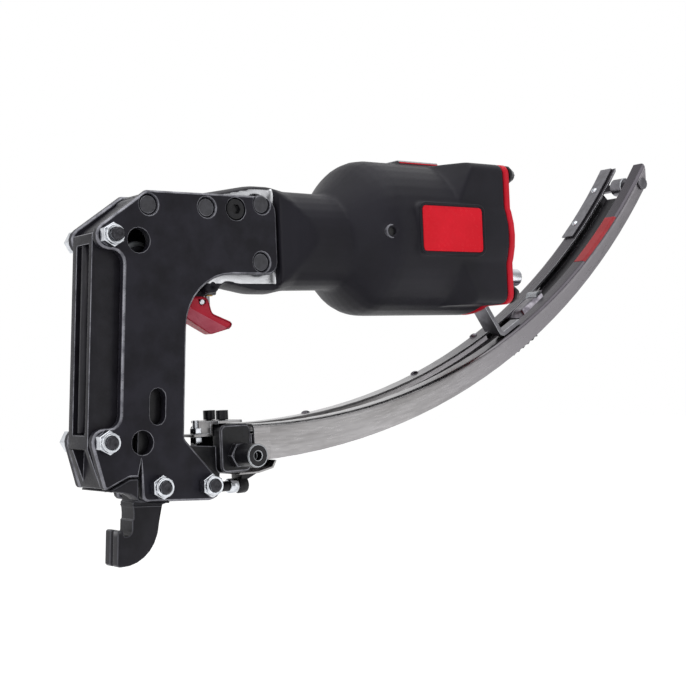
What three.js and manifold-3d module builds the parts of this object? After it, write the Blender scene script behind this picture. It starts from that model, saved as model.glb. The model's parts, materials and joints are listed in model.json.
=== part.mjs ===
// Pneumatic clinch clip tool: air cylinder with grip neck, a pair of side plates with the anvil hook, and a curved clip magazine.
// Millimetres. X runs from the nose (-X) to the cylinder's rear (+X), Y across, Z up; the origin lies near the cylinder axis at the grip.
import * as THREE from "three";
import { mergeVertices } from "three/addons/utils/BufferGeometryUtils.js";
import Module from "manifold-3d";

const wasm = await Module();
wasm.setup();

// Sizes.

const CHORD = 0.15; // how far a facet may stand off its arc
const MERGE = 0.001; // vertices closer than this are one
const GAP = 0.3; // between faces that rest on each other
const FIT = 0.2; // radial play of a pin in its hole
const OVERRUN = 2; // how far a cut runs past the material
const LEAN = 0.066; // angle by which the lower arm leans forward

// The lower arm has its own axes: a runs back, h runs up, both turned by the lean about this point.
const ARM = { x: -80, z: -5 };

const PLATE = {
  inner: 9.75,
  thick: 4.5,
  bevel: 0.8,
  frontX: -74.8,
  topZ: 17.8,
  rearX: -5.1,
  bottomZ: -19.7,
  topCorner: 8,
  rearCorner: 6,
  throatFillet: 26,
  armRear: 25.5,
  toeTopH: -88,
  toeRear: 48,
  toeSlantH: -110.3,
  toeBottomH: -116.1,
  toeCorner: 3,
  shankA: 4.7,
  slitA: 3.7,
  slitTopH: -97.1,
  slitLeftA: 2.7,
  lipRightA: -2,
  lipRightH: -105.3,
  lipLeftA: -13.9,
  lipLeftH: -111.2,
  lipCorner: 1.6,
  lobeRadius: 6.1,
  lobeTipA: -22.9,
  lowerLobeH: -83.8,
  recessA: -7.05,
  recessFillet: 5.5,
  upperLobeTipA: -32.4,
  upperLobeH: -5.4,
};
const SIGHT = { upperRadius: 5.7, lowerA: 4, lowerH: -90, lowerRadius: 5.5 };
const SLOT = { a: 11.2, topH: -65.5, bottomH: -82, radius: 4 };

const BOLT = { radius: 3, headRadius: 5.5, headHigh: 5.5, tail: 6.9 };
const NUT = { high: 4.6, collar: 1.6, collarRadius: 4.5, chamfer: 0.5 };
const BOLT_PLACES = {
  upper: { a: -14.6, h: 0.7 },
  lower: { a: -14.4, h: -89.9 },
  heel: { a: 12.5, h: -109.5 },
  toe: { a: 38.1, h: -109.1 },
};
const DOWEL = { radius: 4.5, rim: 0.5, chamfer: 0.5, sunk: 0.9 };
const DOWEL_PLACES = {
  front: { x: -74.3, z: 11.3 },
  middle: { x: -43.9, z: 11.2 },
  rear: { x: -13.3, z: 14 },
  low: { x: -14.6, z: -13.7 },
};
const FRAME_SCREW = {
  x: -28.1,
  z: 11,
  radius: 2.8,
  headRadius: 4.9,
  headHigh: 3.2,
  bore: 5.5,
  socket: 2.5,
  socketDeep: 2,
};

const GUIDE = {
  half: 9.45,
  front: -20.5,
  back: -4.4,
  nearFlange: 3,
  farFlange: 4,
  webFront: -14.5,
  ribHalf: 1.2,
  ribFront: -16.2,
  topH: 2.2,
  headBlock: 5,
  footTopH: -87,
  footBottomH: -93,
  bottomH: -110.2,
  bottomBackH: -106.2,
};
const ROOF = {
  underZ: 6.4,
  underX: -84,
  topZ: 16.9,
  stepX: -79,
  stepLowZ: 12.6,
  stepHighX: -77.6,
  stepHighZ: 14.4,
  rearX: -46,
  noseA: -18,
  noseBackA: -9.2,
  noseH: 2.6,
};

const NECK = {
  axisZ: -1.9,
  frontX: -45,
  frontRadius: 18.6,
  coneX: -39.5,
  coneRadius: 21.4,
  bellyX: -14,
  bellyRadius: 26.2,
  shoulderX: -4,
  gripX: 5,
  gripRadius: 24.4,
  endX: 36,
  endRadius: 24,
  coneRound: 4,
  bellyRound: 20,
  shoulderRound: 3,
  gripRound: 8,
};
const CYLINDER = {
  axisZ: 0.75,
  startX: 27,
  startRadius: 18,
  shoulderX: 31,
  shoulderRadius: 21.6,
  shoulderRound: 3,
  coneX: 48.5,
  radius: 39.7,
  fillet: 16,
  rearX: 125,
  wall: 4.7,
  boreFrontX: 58,
};
const FLANGE = { half: 36.9, corner: 5.5, rampX: 93, startX: 105, z: 1.7 };
const PAD = { front: 62.8, rear: 105.6, top: 15, bottom: -10.5, rise: 1.4, deep: 0.9, rim: 1.1, corner: 3 };
const TOP_PAD = { front: 76, rear: 105, half: 9, rise: 0.55, label: 0.4, edge: 0.9 };
const PORT = { x: 47.5, z: 0.5, radius: 3.2, bore: 2.2, inset: 2.2, round: 0.5, deep: 5, root: 28 };
const LUG = { frontX: -43.6, rearX: -34.4, bottomZ: -28, corner: 2.5, pinX: -39.3, pinZ: -24.9, pinRadius: 1.5 };
const CHIN = {
  half: 4.4,
  frontX: -51.2,
  frontZ: -24.5,
  shelfZ: -28.8,
  waistX: -47.2,
  rearX: -41.2,
  bottomZ: -35.6,
  corner: 2.8,
  edge: 1,
  rootZ: -22,
};

const CAP = { thick: 4, bevel: 0.8, spigot: 4, screwInsetY: 4.7, screwInsetZ: 5.4 };
const CAP_SCREW = { radius: 2.5, headRadius: 4.2, headHigh: 4.2, grip: 12, socket: 1.6, socketDeep: 2 };
const INLET = {
  z: -18,
  hexRadius: 8,
  hexHigh: 7,
  neckRadius: 4.4,
  reach: 38.3,
  barbRadius: 4.9,
  bead: 1,
  round: 0.8,
  bore: 3,
  deep: 22,
};

const PISTON = { rearX: 118, frontX: 101, clearance: 0.4, seal: 2.6, hub: 12, dish: 5, round: 1, cover: 1 };
const ROD = { radius: 6.5, tipRadius: 5.5, tipReach: 13, tipRound: 1, shoulder: 0.5, play: 0.3 };
const BUMPER = { deep: 9, radius: 20, lip: 3, round: 1 };

// The bell crank turns the rod's push along X into the driver's push along the arm.
const CRANK = {
  x: -47,
  z: -20,
  noseX: -75,
  noseZ: -12,
  rodX: -37,
  rodZ: -2.7,
  half: 5.3,
  boss: 6.4,
  noseArm: 4.2,
  rodArm: 4,
  forkHalf: 3.3,
  pin: 4,
  noseRoller: 8,
  noseEye: 5.6,
  rodRoller: 6,
  rodEye: 4.6,
  rollerHalf: 3,
  rollerPin: 2.4,
  contact: 0.45,
  sweepPlay: 0.6,
};
const CRANK_TURN = Math.PI / 3;
const CAVITY = { half: 5.8, topZ: 8.3, rearX: -29.6, shelfZ: -10.6, waistX: -36.8, waistZ: -14.5, boss: 7.2 };
const CRANK_PIN = { reach: 12.4 };

const DRIVER = {
  half: 9.2,
  front: -1.7,
  back: 3.6,
  headBack: 16.8,
  headThick: 8,
  bladeHalf: 6.2,
  edge: 0.6,
  headCorner: 2,
  shoulderH: -62,
  endH: -91.7,
};
const SPRING = { a: 11.2, radius: 3.3, wire: 0.6, turns: 7, bottomH: -62.6 };

const TRIGGER = {
  pinX: -44.4,
  pinZ: -32.1,
  pinRadius: 1.4,
  half: 7.5,
  cheek: 2.5,
  web: 2.6,
  lowWeb: 4.6,
  corner: 2.5,
  topFrontX: -50.2,
  topFrontZ: -29.8,
  frontX: -52.3,
  topRearX: -41.2,
  neckX: -39,
  neckZ: -37.6,
  tipX: -27.3,
  tipZ: -42.2,
  tipLowX: -29.8,
  tipLowZ: -44.7,
  bellyX: -40.6,
  bellyZ: -47.2,
  frontZ: -39.2,
  creaseZ: -34.5,
  taper: 0.7,
  ledgeFrontX: -42.5,
  ledgeRearX: -35.8,
  ledgeZ: -38.9,
  ledgeThick: 1.6,
};
const VALVE = {
  x: -37,
  topZ: -19.6,
  bottomZ: -29,
  radius: 2.6,
  wall: 0.8,
  stem: 1.2,
  stemRound: 0.6,
  collar: 1.5,
  collarThick: 1,
  stemBottomZ: -38.6,
  wire: 0.25,
  coil: 1,
  turns: 4,
  springHigh: 4.6,
  boss: 1.9,
};

const ANVIL = {
  half: 6,
  wideHalf: 14.25,
  tongueHalf: 9.45,
  throatA: 4.2,
  throatH: -131.7,
  tipA: -2.9,
  tipH: -129,
  tipBackA: 0.2,
  footH: -145.2,
  corner: 2.5,
  elbow: 18,
  edge: 1,
  cheekDrop: 0.5,
  farCheekH: -112,
  rootH: -118.4,
  collarH: -116.4,
  windowA: -3.4,
  windowHalf: 6.6,
  cheekTipA: -12,
  cheekTipH: -111,
  cheekMidA: -2,
  tongueA: 4.9,
  tongueBackA: 25,
  tongueTopH: -103.4,
  heelA: 19.8,
  waistA: 17.4,
  waistH: -130,
  elbowA: 13.6,
  groove: 2.2,
  grooveHalf: 1.7,
};

const BLOCK = {
  frontX: -41.4,
  rearX: -24.5,
  topZ: -89.4,
  bottomZ: -111.9,
  half: 14,
  corner: 3,
  edge: 1,
  innerHalf: 14.4,
  innerFarHalf: 16.9,
  innerRearX: -12,
  innerTopZ: -94.6,
  innerBottomZ: -105.5,
  tongueHalf: 9.45,
  tongueA: 4,
  tongueTopH: -63.2,
  tongueRearA: 24.2,
  tongueShelfZ: -99.5,
  tongueBottomH: -103,
  toeFrontA: 26.6,
  toeRearA: 47.3,
  toeBottomH: -115.4,
  tunnelHalf: 7.3,
  tunnelTopZ: -93,
  tunnelBottomZ: -107.2,
};
const BLOCK_SCREW = { x: -34.9, y: 5.7, radius: 1.6, head: 2.9, headHigh: 4.4, grip: 2.6, socket: 1.5, socketDeep: 2 };
const STRIP = {
  thick: 1.2,
  half: 12.6,
  frontX: -52,
  rearX: -27,
  z: -88.2,
  earZ: -94,
  hole: 1.6,
  earHalf: 5,
  earCorner: 2,
  edge: 1,
  tailCorner: 3,
};
const LATCH = {
  x: -32.2,
  z: -103.8,
  hexRadius: 6.2,
  hexHigh: 4,
  sleeveRadius: 5.5,
  reach: 31,
  bore: 2.2,
  stem: 3,
  deep: 9,
  endPlay: 1,
};
const TRIM_SCREW = { x: -47.6, y: -2.6, radius: 1.5, nut: 3, nutHigh: 2.4, topZ: -87, bottomZ: -98 };

// The magazine follows one arc; angles along it are measured from straight below the arc's centre.
const MAGAZINE = {
  x: -15,
  lowestZ: -90,
  radius: 346.5,
  half: 16,
  farHalf: 18.5,
  sheet: 1.2,
  bend: 2.6,
  slotHalf: 7,
  frontX: -24,
  rearX: 263.8,
  blank: 24,
  wallFront: 18.5,
  wallRear: 7.8,
};
const MAGAZINE_STEP = 0.035; // angle between two sections of the arc
const WALL_TAPER = 1.7; // power by which the walls get lower towards the rear
const MAGAZINE_Z = MAGAZINE.lowestZ + MAGAZINE.radius;
const CLIP_RAIL = { half: 6.2, top: 3.5, bottom: 8.5, frontX: -26, endPlay: 1 };
const PUSHER = {
  x: 174,
  reach: 8.5,
  half: 6.4,
  top: -4,
  legHalf: 8.8,
  legTop: 1.7,
  under: 12,
  play: 0.4,
  rollRadius: 2.6,
  rollHalf: 4,
  rollBack: 7.4,
};
const END_PIN = { x: 256, depth: 4.4, radius: 2.5, roller: 5.2, rollerHalf: 4.2, head: 3.6, headHigh: 1.4 };
const COVER = { thick: 0.9, inner: 9.6, outer: 18.1, startX: 226, lift: 0.3 };
const BRACKET = { thick: 2.5, near: -13.4, far: -2.6, standOff: 0.5, grip: 8, knee: 0.2, footX: 142.6, footEndX: 156.2, bend: 1 };

const PAINT = {
  oxide: { color: 0x2f2f33, roughness: 0.48, metalness: 0.6 },
  cast: { color: 0x37373b, roughness: 0.72, metalness: 0.25 },
  guide: { color: 0x3a3a3d, roughness: 0.62, metalness: 0.4 },
  red: { color: 0xd3283c, roughness: 0.42, metalness: 0 },
  redPlastic: { color: 0xd84a5e, roughness: 0.36, metalness: 0 },
  badge: { color: 0xe23a4c, roughness: 0.3, metalness: 0 },
  white: { color: 0xe9e9ea, roughness: 0.4, metalness: 0 },
  zinc: { color: 0xc3c6ca, roughness: 0.3, metalness: 0.9 },
  black: { color: 0x1d1d20, roughness: 0.4, metalness: 0.5 },
  ground: { color: 0xb5b8bb, roughness: 0.28, metalness: 0.95 },
  stainless: { color: 0xa9abad, roughness: 0.34, metalness: 0.9 },
  darkRail: { color: 0x4b4c50, roughness: 0.4, metalness: 0.8 },
  aluminium: { color: 0xb9bbbe, roughness: 0.35, metalness: 0.85 },
  brass: { color: 0xc8a55a, roughness: 0.3, metalness: 0.9 },
  rubber: { color: 0x202022, roughness: 0.85, metalness: 0 },
  springSteel: { color: 0x8d9094, roughness: 0.3, metalness: 0.9 },
};

// Solids.

/** A manifold solid of a geometry, with its faces outwards. */
function solid(geometry) {
  const bare = geometry.clone();
  bare.deleteAttribute("normal");
  bare.deleteAttribute("uv");
  const merged = mergeVertices(bare, MERGE);
  const corners = merged.index.array;
  const kept = [];
  for (let i = 0; i < corners.length; i += 3) {
    const [a, b, c] = corners.slice(i, i + 3);
    if (a !== b && b !== c && c !== a) kept.push(a, b, c);
  }
  const triVerts = new Uint32Array(kept);
  const vertProperties = new Float32Array(merged.attributes.position.array);
  const made = new wasm.Manifold(new wasm.Mesh({ numProp: 3, vertProperties, triVerts }));
  if (made.volume() >= 0) return made;
  for (let i = 0; i < triVerts.length; i += 3) {
    [triVerts[i + 1], triVerts[i + 2]] = [triVerts[i + 2], triVerts[i + 1]];
  }
  return new wasm.Manifold(new wasm.Mesh({ numProp: 3, vertProperties, triVerts }));
}

/** The geometry of a manifold solid. */
function geometryOf(manifold) {
  const mesh = manifold.getMesh();
  const places = new Float32Array(mesh.numVert * 3);
  for (let i = 0; i < mesh.numVert; i++) {
    places.set(mesh.vertProperties.subarray(i * mesh.numProp, i * mesh.numProp + 3), i * 3);
  }
  const geometry = new THREE.BufferGeometry();
  geometry.setAttribute("position", new THREE.BufferAttribute(places, 3));
  geometry.setIndex(new THREE.BufferAttribute(new Uint32Array(mesh.triVerts), 1));
  return geometry;
}

function join(first, ...others) {
  return geometryOf(others.reduce((body, other) => body.add(solid(other)), solid(first)));
}

function cut(first, ...tools) {
  return geometryOf(tools.reduce((body, tool) => body.subtract(solid(tool)), solid(first)));
}

function common(first, second) {
  return geometryOf(solid(first).intersect(solid(second)));
}

// Outlines.

function stepsFor(radius, angle) {
  const step = 2 * Math.acos(Math.max(1 - CHORD / Math.abs(radius), 0.7));
  return Math.max(2, Math.ceil(Math.abs(angle) / step));
}

/** Points of a closed outline from its corners [x, y, radius]; a radius rounds its corner. */
function rounded(corners) {
  const points = [];
  corners.forEach(([x, y, radius], i) => {
    const corner = new THREE.Vector2(x, y);
    if (!radius) {
      points.push(corner);
      return;
    }
    const before = corners[(i + corners.length - 1) % corners.length];
    const after = corners[(i + 1) % corners.length];
    const back = new THREE.Vector2(before[0], before[1]).sub(corner).normalize();
    const onward = new THREE.Vector2(after[0], after[1]).sub(corner).normalize();
    const half = Math.acos(back.dot(onward)) / 2;
    const bisector = back.clone().add(onward).normalize();
    const centre = corner.clone().addScaledVector(bisector, radius / Math.sin(half));
    const start = corner.clone().addScaledVector(back, radius / Math.tan(half));
    const end = corner.clone().addScaledVector(onward, radius / Math.tan(half));
    const from = Math.atan2(start.y - centre.y, start.x - centre.x);
    const raw = Math.atan2(end.y - centre.y, end.x - centre.x) - from;
    const turn = Math.atan2(Math.sin(raw), Math.cos(raw));
    const steps = stepsFor(radius, turn);
    for (let k = 0; k <= steps; k++) {
      const angle = from + (turn * k) / steps;
      points.push(new THREE.Vector2(centre.x + radius * Math.cos(angle), centre.y + radius * Math.sin(angle)));
    }
  });
  return points;
}

/** A corner given on the leaning arm's axes, as a corner in X and Z. */
function leant(a, h, radius = 0) {
  const x = ARM.x + a * Math.cos(LEAN) + h * Math.sin(LEAN);
  const z = ARM.z - a * Math.sin(LEAN) + h * Math.cos(LEAN);
  return [x, z, radius];
}

/** Where the arm's line of constant a meets a height z. */
function armLineAt(a, z, radius = 0) {
  const h = (z - ARM.z + a * Math.sin(LEAN)) / Math.cos(LEAN);
  return leant(a, h, radius);
}

function circle(x, y, radius) {
  const steps = 4 * Math.ceil(stepsFor(radius, Math.PI * 2) / 4);
  return Array.from({ length: steps }, (_, i) => {
    const angle = (i * Math.PI * 2) / steps;
    return new THREE.Vector2(x + radius * Math.cos(angle), y + radius * Math.sin(angle));
  });
}

/** Corners of a sheet of one thickness bent along a line of points. */
function sheetCorners(line, thick, bend) {
  const side = (sign) =>
    line.map(([x, y], i) => {
      const from = line[Math.max(i - 1, 0)];
      const to = line[Math.min(i + 1, line.length - 1)];
      const into = new THREE.Vector2(x - from[0], y - from[1]);
      const out = new THREE.Vector2(to[0] - x, to[1] - y);
      if (!into.length()) into.copy(out);
      if (!out.length()) out.copy(into);
      into.normalize();
      out.normalize();
      const normal = new THREE.Vector2(-into.y - out.y, into.x + out.x).normalize();
      const reach = (sign * thick) / 2 / normal.dot(new THREE.Vector2(-into.y, into.x));
      const inner = sign * into.cross(out) > 0;
      const radius = i && i < line.length - 1 ? (inner ? bend : bend + thick) : 0;
      return [x + normal.x * reach, y + normal.y * reach, radius];
    });
  return [...side(-1), ...side(1).reverse()];
}

// Forms.

/** A slab of an outline in X and Z, between two places along Y. */
function slabY(points, fromY, toY, bevel = 0, holes = []) {
  const shape = new THREE.Shape(points);
  shape.holes = holes.map((hole) => new THREE.Path(hole));
  const depth = toY - fromY - 2 * bevel;
  const settings = { depth, steps: 1, curveSegments: 1, bevelEnabled: bevel > 0 };
  Object.assign(settings, { bevelSegments: 1, bevelSize: bevel, bevelThickness: bevel, bevelOffset: -bevel });
  const geometry = new THREE.ExtrudeGeometry(shape, settings);
  geometry.translate(0, 0, bevel);
  geometry.rotateX(Math.PI / 2);
  return geometry.translate(0, toY, 0);
}

/** A slab of an outline in Y and Z, between two places along X. */
function slabX(points, fromX, toX, bevel = 0) {
  const shape = new THREE.Shape(points);
  const depth = toX - fromX - 2 * bevel;
  const settings = { depth, steps: 1, curveSegments: 1, bevelEnabled: bevel > 0 };
  Object.assign(settings, { bevelSegments: 1, bevelSize: bevel, bevelThickness: bevel, bevelOffset: -bevel });
  const geometry = new THREE.ExtrudeGeometry(shape, settings);
  geometry.translate(0, 0, bevel);
  const axes = new THREE.Matrix4().makeBasis(
    new THREE.Vector3(0, 1, 0),
    new THREE.Vector3(0, 0, 1),
    new THREE.Vector3(1, 0, 0),
  );
  return geometry.applyMatrix4(axes).translate(fromX, 0, 0);
}

/** A slab of an outline in X and Y, between two heights. */
function slabZ(points, fromZ, toZ) {
  const shape = new THREE.Shape(points);
  const geometry = new THREE.ExtrudeGeometry(shape, { depth: toZ - fromZ, steps: 1, bevelEnabled: false });
  return geometry.translate(0, 0, fromZ);
}

function box(fromX, toX, fromY, toY, fromZ, toZ) {
  const geometry = new THREE.BoxGeometry(toX - fromX, toY - fromY, toZ - fromZ);
  return geometry.translate((fromX + toX) / 2, (fromY + toY) / 2, (fromZ + toZ) / 2);
}

/** A turned body from its profile [along, radius, rounding], about the X axis moved to a place in Y and Z. */
function turnedX(profile, y, z) {
  const widest = Math.max(...profile.map(([, radius]) => radius));
  const segments = 4 * Math.ceil(stepsFor(widest, Math.PI * 2) / 4);
  const points = rounded(profile.map(([along, radius, rounding]) => [radius, along, rounding]));
  if (points[0].x > 0) points.push(points[0].clone());
  const geometry = new THREE.LatheGeometry(points, segments);
  geometry.rotateZ(-Math.PI / 2);
  return geometry.translate(0, y, z);
}

function turnedY(profile, x, z) {
  const geometry = turnedX(profile, 0, 0);
  geometry.rotateZ(Math.PI / 2);
  return geometry.translate(x, 0, z);
}

function turnedZ(profile, x, y) {
  const geometry = turnedX(profile, 0, 0);
  geometry.rotateY(-Math.PI / 2);
  return geometry.translate(x, y, 0);
}

function barX(y, z, radius, fromX, toX) {
  return slabX(circle(y, z, radius), fromX, toX);
}

function barY(x, z, radius, fromY, toY, bevel = 0) {
  return slabY(circle(x, z, radius), fromY, toY, bevel);
}

function barZ(x, y, radius, fromZ, toZ) {
  return slabZ(circle(x, y, radius), fromZ, toZ);
}

function hexagon(x, y, across, turn = 0) {
  return Array.from({ length: 6 }, (_, i) => {
    const angle = turn + (i * Math.PI) / 3;
    return new THREE.Vector2(x + across * Math.cos(angle), y + across * Math.sin(angle));
  });
}

/** A round wire wound about the Z axis, one unbroken tube with closed ends. */
function coil(radius, wire, turns, bottomZ, topZ) {
  const turnSteps = 8;
  const sides = 5;
  const steps = Math.round(turns * turnSteps);
  const rise = topZ - bottomZ - 2 * wire;
  class Helix extends THREE.Curve {
    getPoint(t, target = new THREE.Vector3()) {
      const angle = t * turns * Math.PI * 2;
      return target.set(radius * Math.cos(angle), radius * Math.sin(angle), bottomZ + wire + rise * t);
    }
  }
  const section = Array.from({ length: sides }, (_, i) => {
    const angle = (i * Math.PI * 2) / sides;
    return new THREE.Vector2(wire * Math.cos(angle), wire * Math.sin(angle));
  });
  return new THREE.ExtrudeGeometry(new THREE.Shape(section), { steps, extrudePath: new Helix() });
}

// Plates and frame.

function capRearX() {
  return CYLINDER.rearX + GAP + CAP.thick;
}

function boreRadius() {
  return CYLINDER.radius - CYLINDER.wall;
}

function badgeFaceY() {
  return CYLINDER.radius + PAD.rise;
}

/** The top pad stands above the cylinder and above the flange, whichever is higher. */
function topPadZ() {
  return Math.max(CYLINDER.axisZ + CYLINDER.radius, FLANGE.z + FLANGE.half) + TOP_PAD.rise;
}

function portFaceY() {
  return CYLINDER.radius - PORT.inset;
}

function sidePlateOutline() {
  const p = PLATE;
  return rounded([
    [p.frontX, p.topZ],
    [p.rearX, p.topZ, p.topCorner],
    [p.rearX, p.bottomZ, p.rearCorner],
    armLineAt(p.armRear, p.bottomZ, p.throatFillet),
    leant(p.armRear, p.toeTopH, p.toeCorner),
    leant(p.toeRear, p.toeSlantH, p.toeCorner),
    leant(p.toeRear, p.toeBottomH, p.toeCorner),
    leant(p.shankA, p.toeBottomH, p.toeCorner),
    leant(p.slitA, p.slitTopH),
    leant(p.slitLeftA, p.lipRightH),
    leant(p.lipRightA, p.lipRightH, p.toeCorner),
    leant(p.lipLeftA, p.lipLeftH, p.lipCorner),
    leant(p.lobeTipA, p.lowerLobeH, p.lobeRadius),
    leant(p.recessA, p.lowerLobeH, p.recessFillet),
    leant(p.recessA, p.upperLobeH, p.recessFillet),
    leant(p.upperLobeTipA, p.upperLobeH, p.lobeRadius),
  ]);
}

function slotOutline() {
  const s = SLOT;
  const left = s.a - s.radius;
  const right = s.a + s.radius;
  const corners = [leant(left, s.topH), leant(right, s.topH), leant(right, s.bottomH), leant(left, s.bottomH)];
  const cornerShare = 0.99;
  return rounded(corners.map(([x, z]) => [x, z, s.radius * cornerShare]));
}

/** One side plate; side is -1 for the left one, which has the screw's counterbore, and 1 for the right one. */
function sidePlate(side) {
  const fromY = side < 0 ? -PLATE.inner - PLATE.thick : PLATE.inner;
  const toY = fromY + PLATE.thick;
  const bolts = Object.values(BOLT_PLACES).map(({ a, h }) => circle(...leant(a, h).slice(0, 2), BOLT.radius + FIT));
  const dowels = Object.values(DOWEL_PLACES).map(({ x, z }) => circle(x, z, DOWEL.radius + FIT));
  const sights = [
    circle(ARM.x, ARM.z, SIGHT.upperRadius),
    circle(...leant(SIGHT.lowerA, SIGHT.lowerH).slice(0, 2), SIGHT.lowerRadius),
  ];
  const screwHole = circle(FRAME_SCREW.x, FRAME_SCREW.z, FRAME_SCREW.radius + FIT);
  const holes = [...bolts, ...dowels, ...sights, slotOutline(), screwHole];
  const plain = slabY(sidePlateOutline(), fromY, toY, PLATE.bevel);
  const drilled = holes.map((hole) => slabY(hole, fromY - OVERRUN, toY + OVERRUN));
  const pinHole = barY(CRANK.x, CRANK.z, CRANK.pin + FIT, -CRANK_PIN.reach - FIT, CRANK_PIN.reach + FIT);
  const sink = DOWEL.sunk;
  const outerY = side * (PLATE.inner + PLATE.thick);
  const rims = Object.values(DOWEL_PLACES).map(({ x, z }) => {
    const profile = [[outerY - side * sink, 0], [outerY - side * sink, DOWEL.radius + FIT]];
    profile.push([outerY + side * sink, DOWEL.radius + FIT + DOWEL.rim * 2], [outerY + side * sink, 0]);
    return turnedY(profile, x, z);
  });
  const tools = [...drilled, pinHole, ...rims];
  if (side < 0) {
    const floor = outerY + FRAME_SCREW.headHigh;
    tools.push(barY(FRAME_SCREW.x, FRAME_SCREW.z, FRAME_SCREW.bore, outerY - OVERRUN, floor));
  }
  return cut(plain, ...tools);
}

/** The channel at the front between the plates: two flanges, a sunk web with a rib, and a block at each end. */
function frontGuide() {
  const g = GUIDE;
  const outline = (front, topH) =>
    rounded([
      leant(front, topH, PLATE.bevel),
      leant(g.back, topH, PLATE.bevel),
      leant(g.back, g.bottomBackH),
      leant(PLATE.lipLeftA + GAP, g.bottomH),
      leant(g.front, g.footBottomH, PLATE.bevel),
    ]);
  const body = slabY(outline(g.front, g.topH), -g.half, g.half);
  const pocket = (fromY, toY) => {
    const corners = [
      leant(g.front - OVERRUN, g.topH - g.headBlock, 0),
      leant(g.webFront, g.topH - g.headBlock, 0),
      leant(g.webFront, g.footTopH, 0),
      leant(g.front - OVERRUN, g.footTopH, 0),
    ];
    return slabY(rounded(corners), fromY, toY);
  };
  const left = pocket(-g.half + g.nearFlange, -g.ribHalf);
  const right = pocket(g.ribHalf, g.half - g.farFlange);
  const ribCut = [
    leant(g.front - OVERRUN, g.topH - g.headBlock),
    leant(g.ribFront, g.topH - g.headBlock),
    leant(g.ribFront, g.footTopH),
    leant(g.front - OVERRUN, g.footTopH),
  ];
  const rib = slabY(rounded(ribCut), -g.ribHalf - GAP, g.ribHalf + GAP);
  const mouth = [
    leant(g.front - OVERRUN, g.footBottomH),
    leant(g.webFront, g.footBottomH),
    leant(g.webFront, g.bottomH - OVERRUN),
    leant(g.front - OVERRUN, g.bottomH - OVERRUN),
  ];
  const mouthCut = slabY(rounded(mouth), -g.half + g.nearFlange, g.half - g.farFlange);
  const bolts = [BOLT_PLACES.upper, BOLT_PLACES.lower].map(({ a, h }) =>
    slabY(circle(...leant(a, h).slice(0, 2), BOLT.radius + FIT), -g.half - OVERRUN, g.half + OVERRUN),
  );
  return cut(body, left, right, rib, mouthCut, ...bolts);
}

/** The block that closes the top between the plates, stepped behind the chamfer. */
function topBlock() {
  const r = ROOF;
  const corners = [
    leant(r.noseA, r.noseH, PLATE.bevel),
    [r.stepX, r.stepLowZ],
    [r.stepHighX, r.stepHighZ],
    [PLATE.frontX + PLATE.bevel, r.topZ],
    [r.rearX, r.topZ],
    [r.rearX, r.underZ],
    [r.underX, r.underZ],
    leant(r.noseBackA, r.noseH),
  ];
  const body = slabY(rounded(corners), -GUIDE.half, GUIDE.half);
  const pins = [DOWEL_PLACES.front, DOWEL_PLACES.middle].map(({ x, z }) =>
    barY(x, z, DOWEL.radius + FIT, -GUIDE.half - OVERRUN, GUIDE.half + OVERRUN),
  );
  const [boltX, boltZ] = leant(BOLT_PLACES.upper.a, BOLT_PLACES.upper.h);
  pins.push(barY(boltX, boltZ, BOLT.radius + FIT, -GUIDE.half - OVERRUN, GUIDE.half + OVERRUN));
  return cut(body, ...pins);
}

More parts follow.
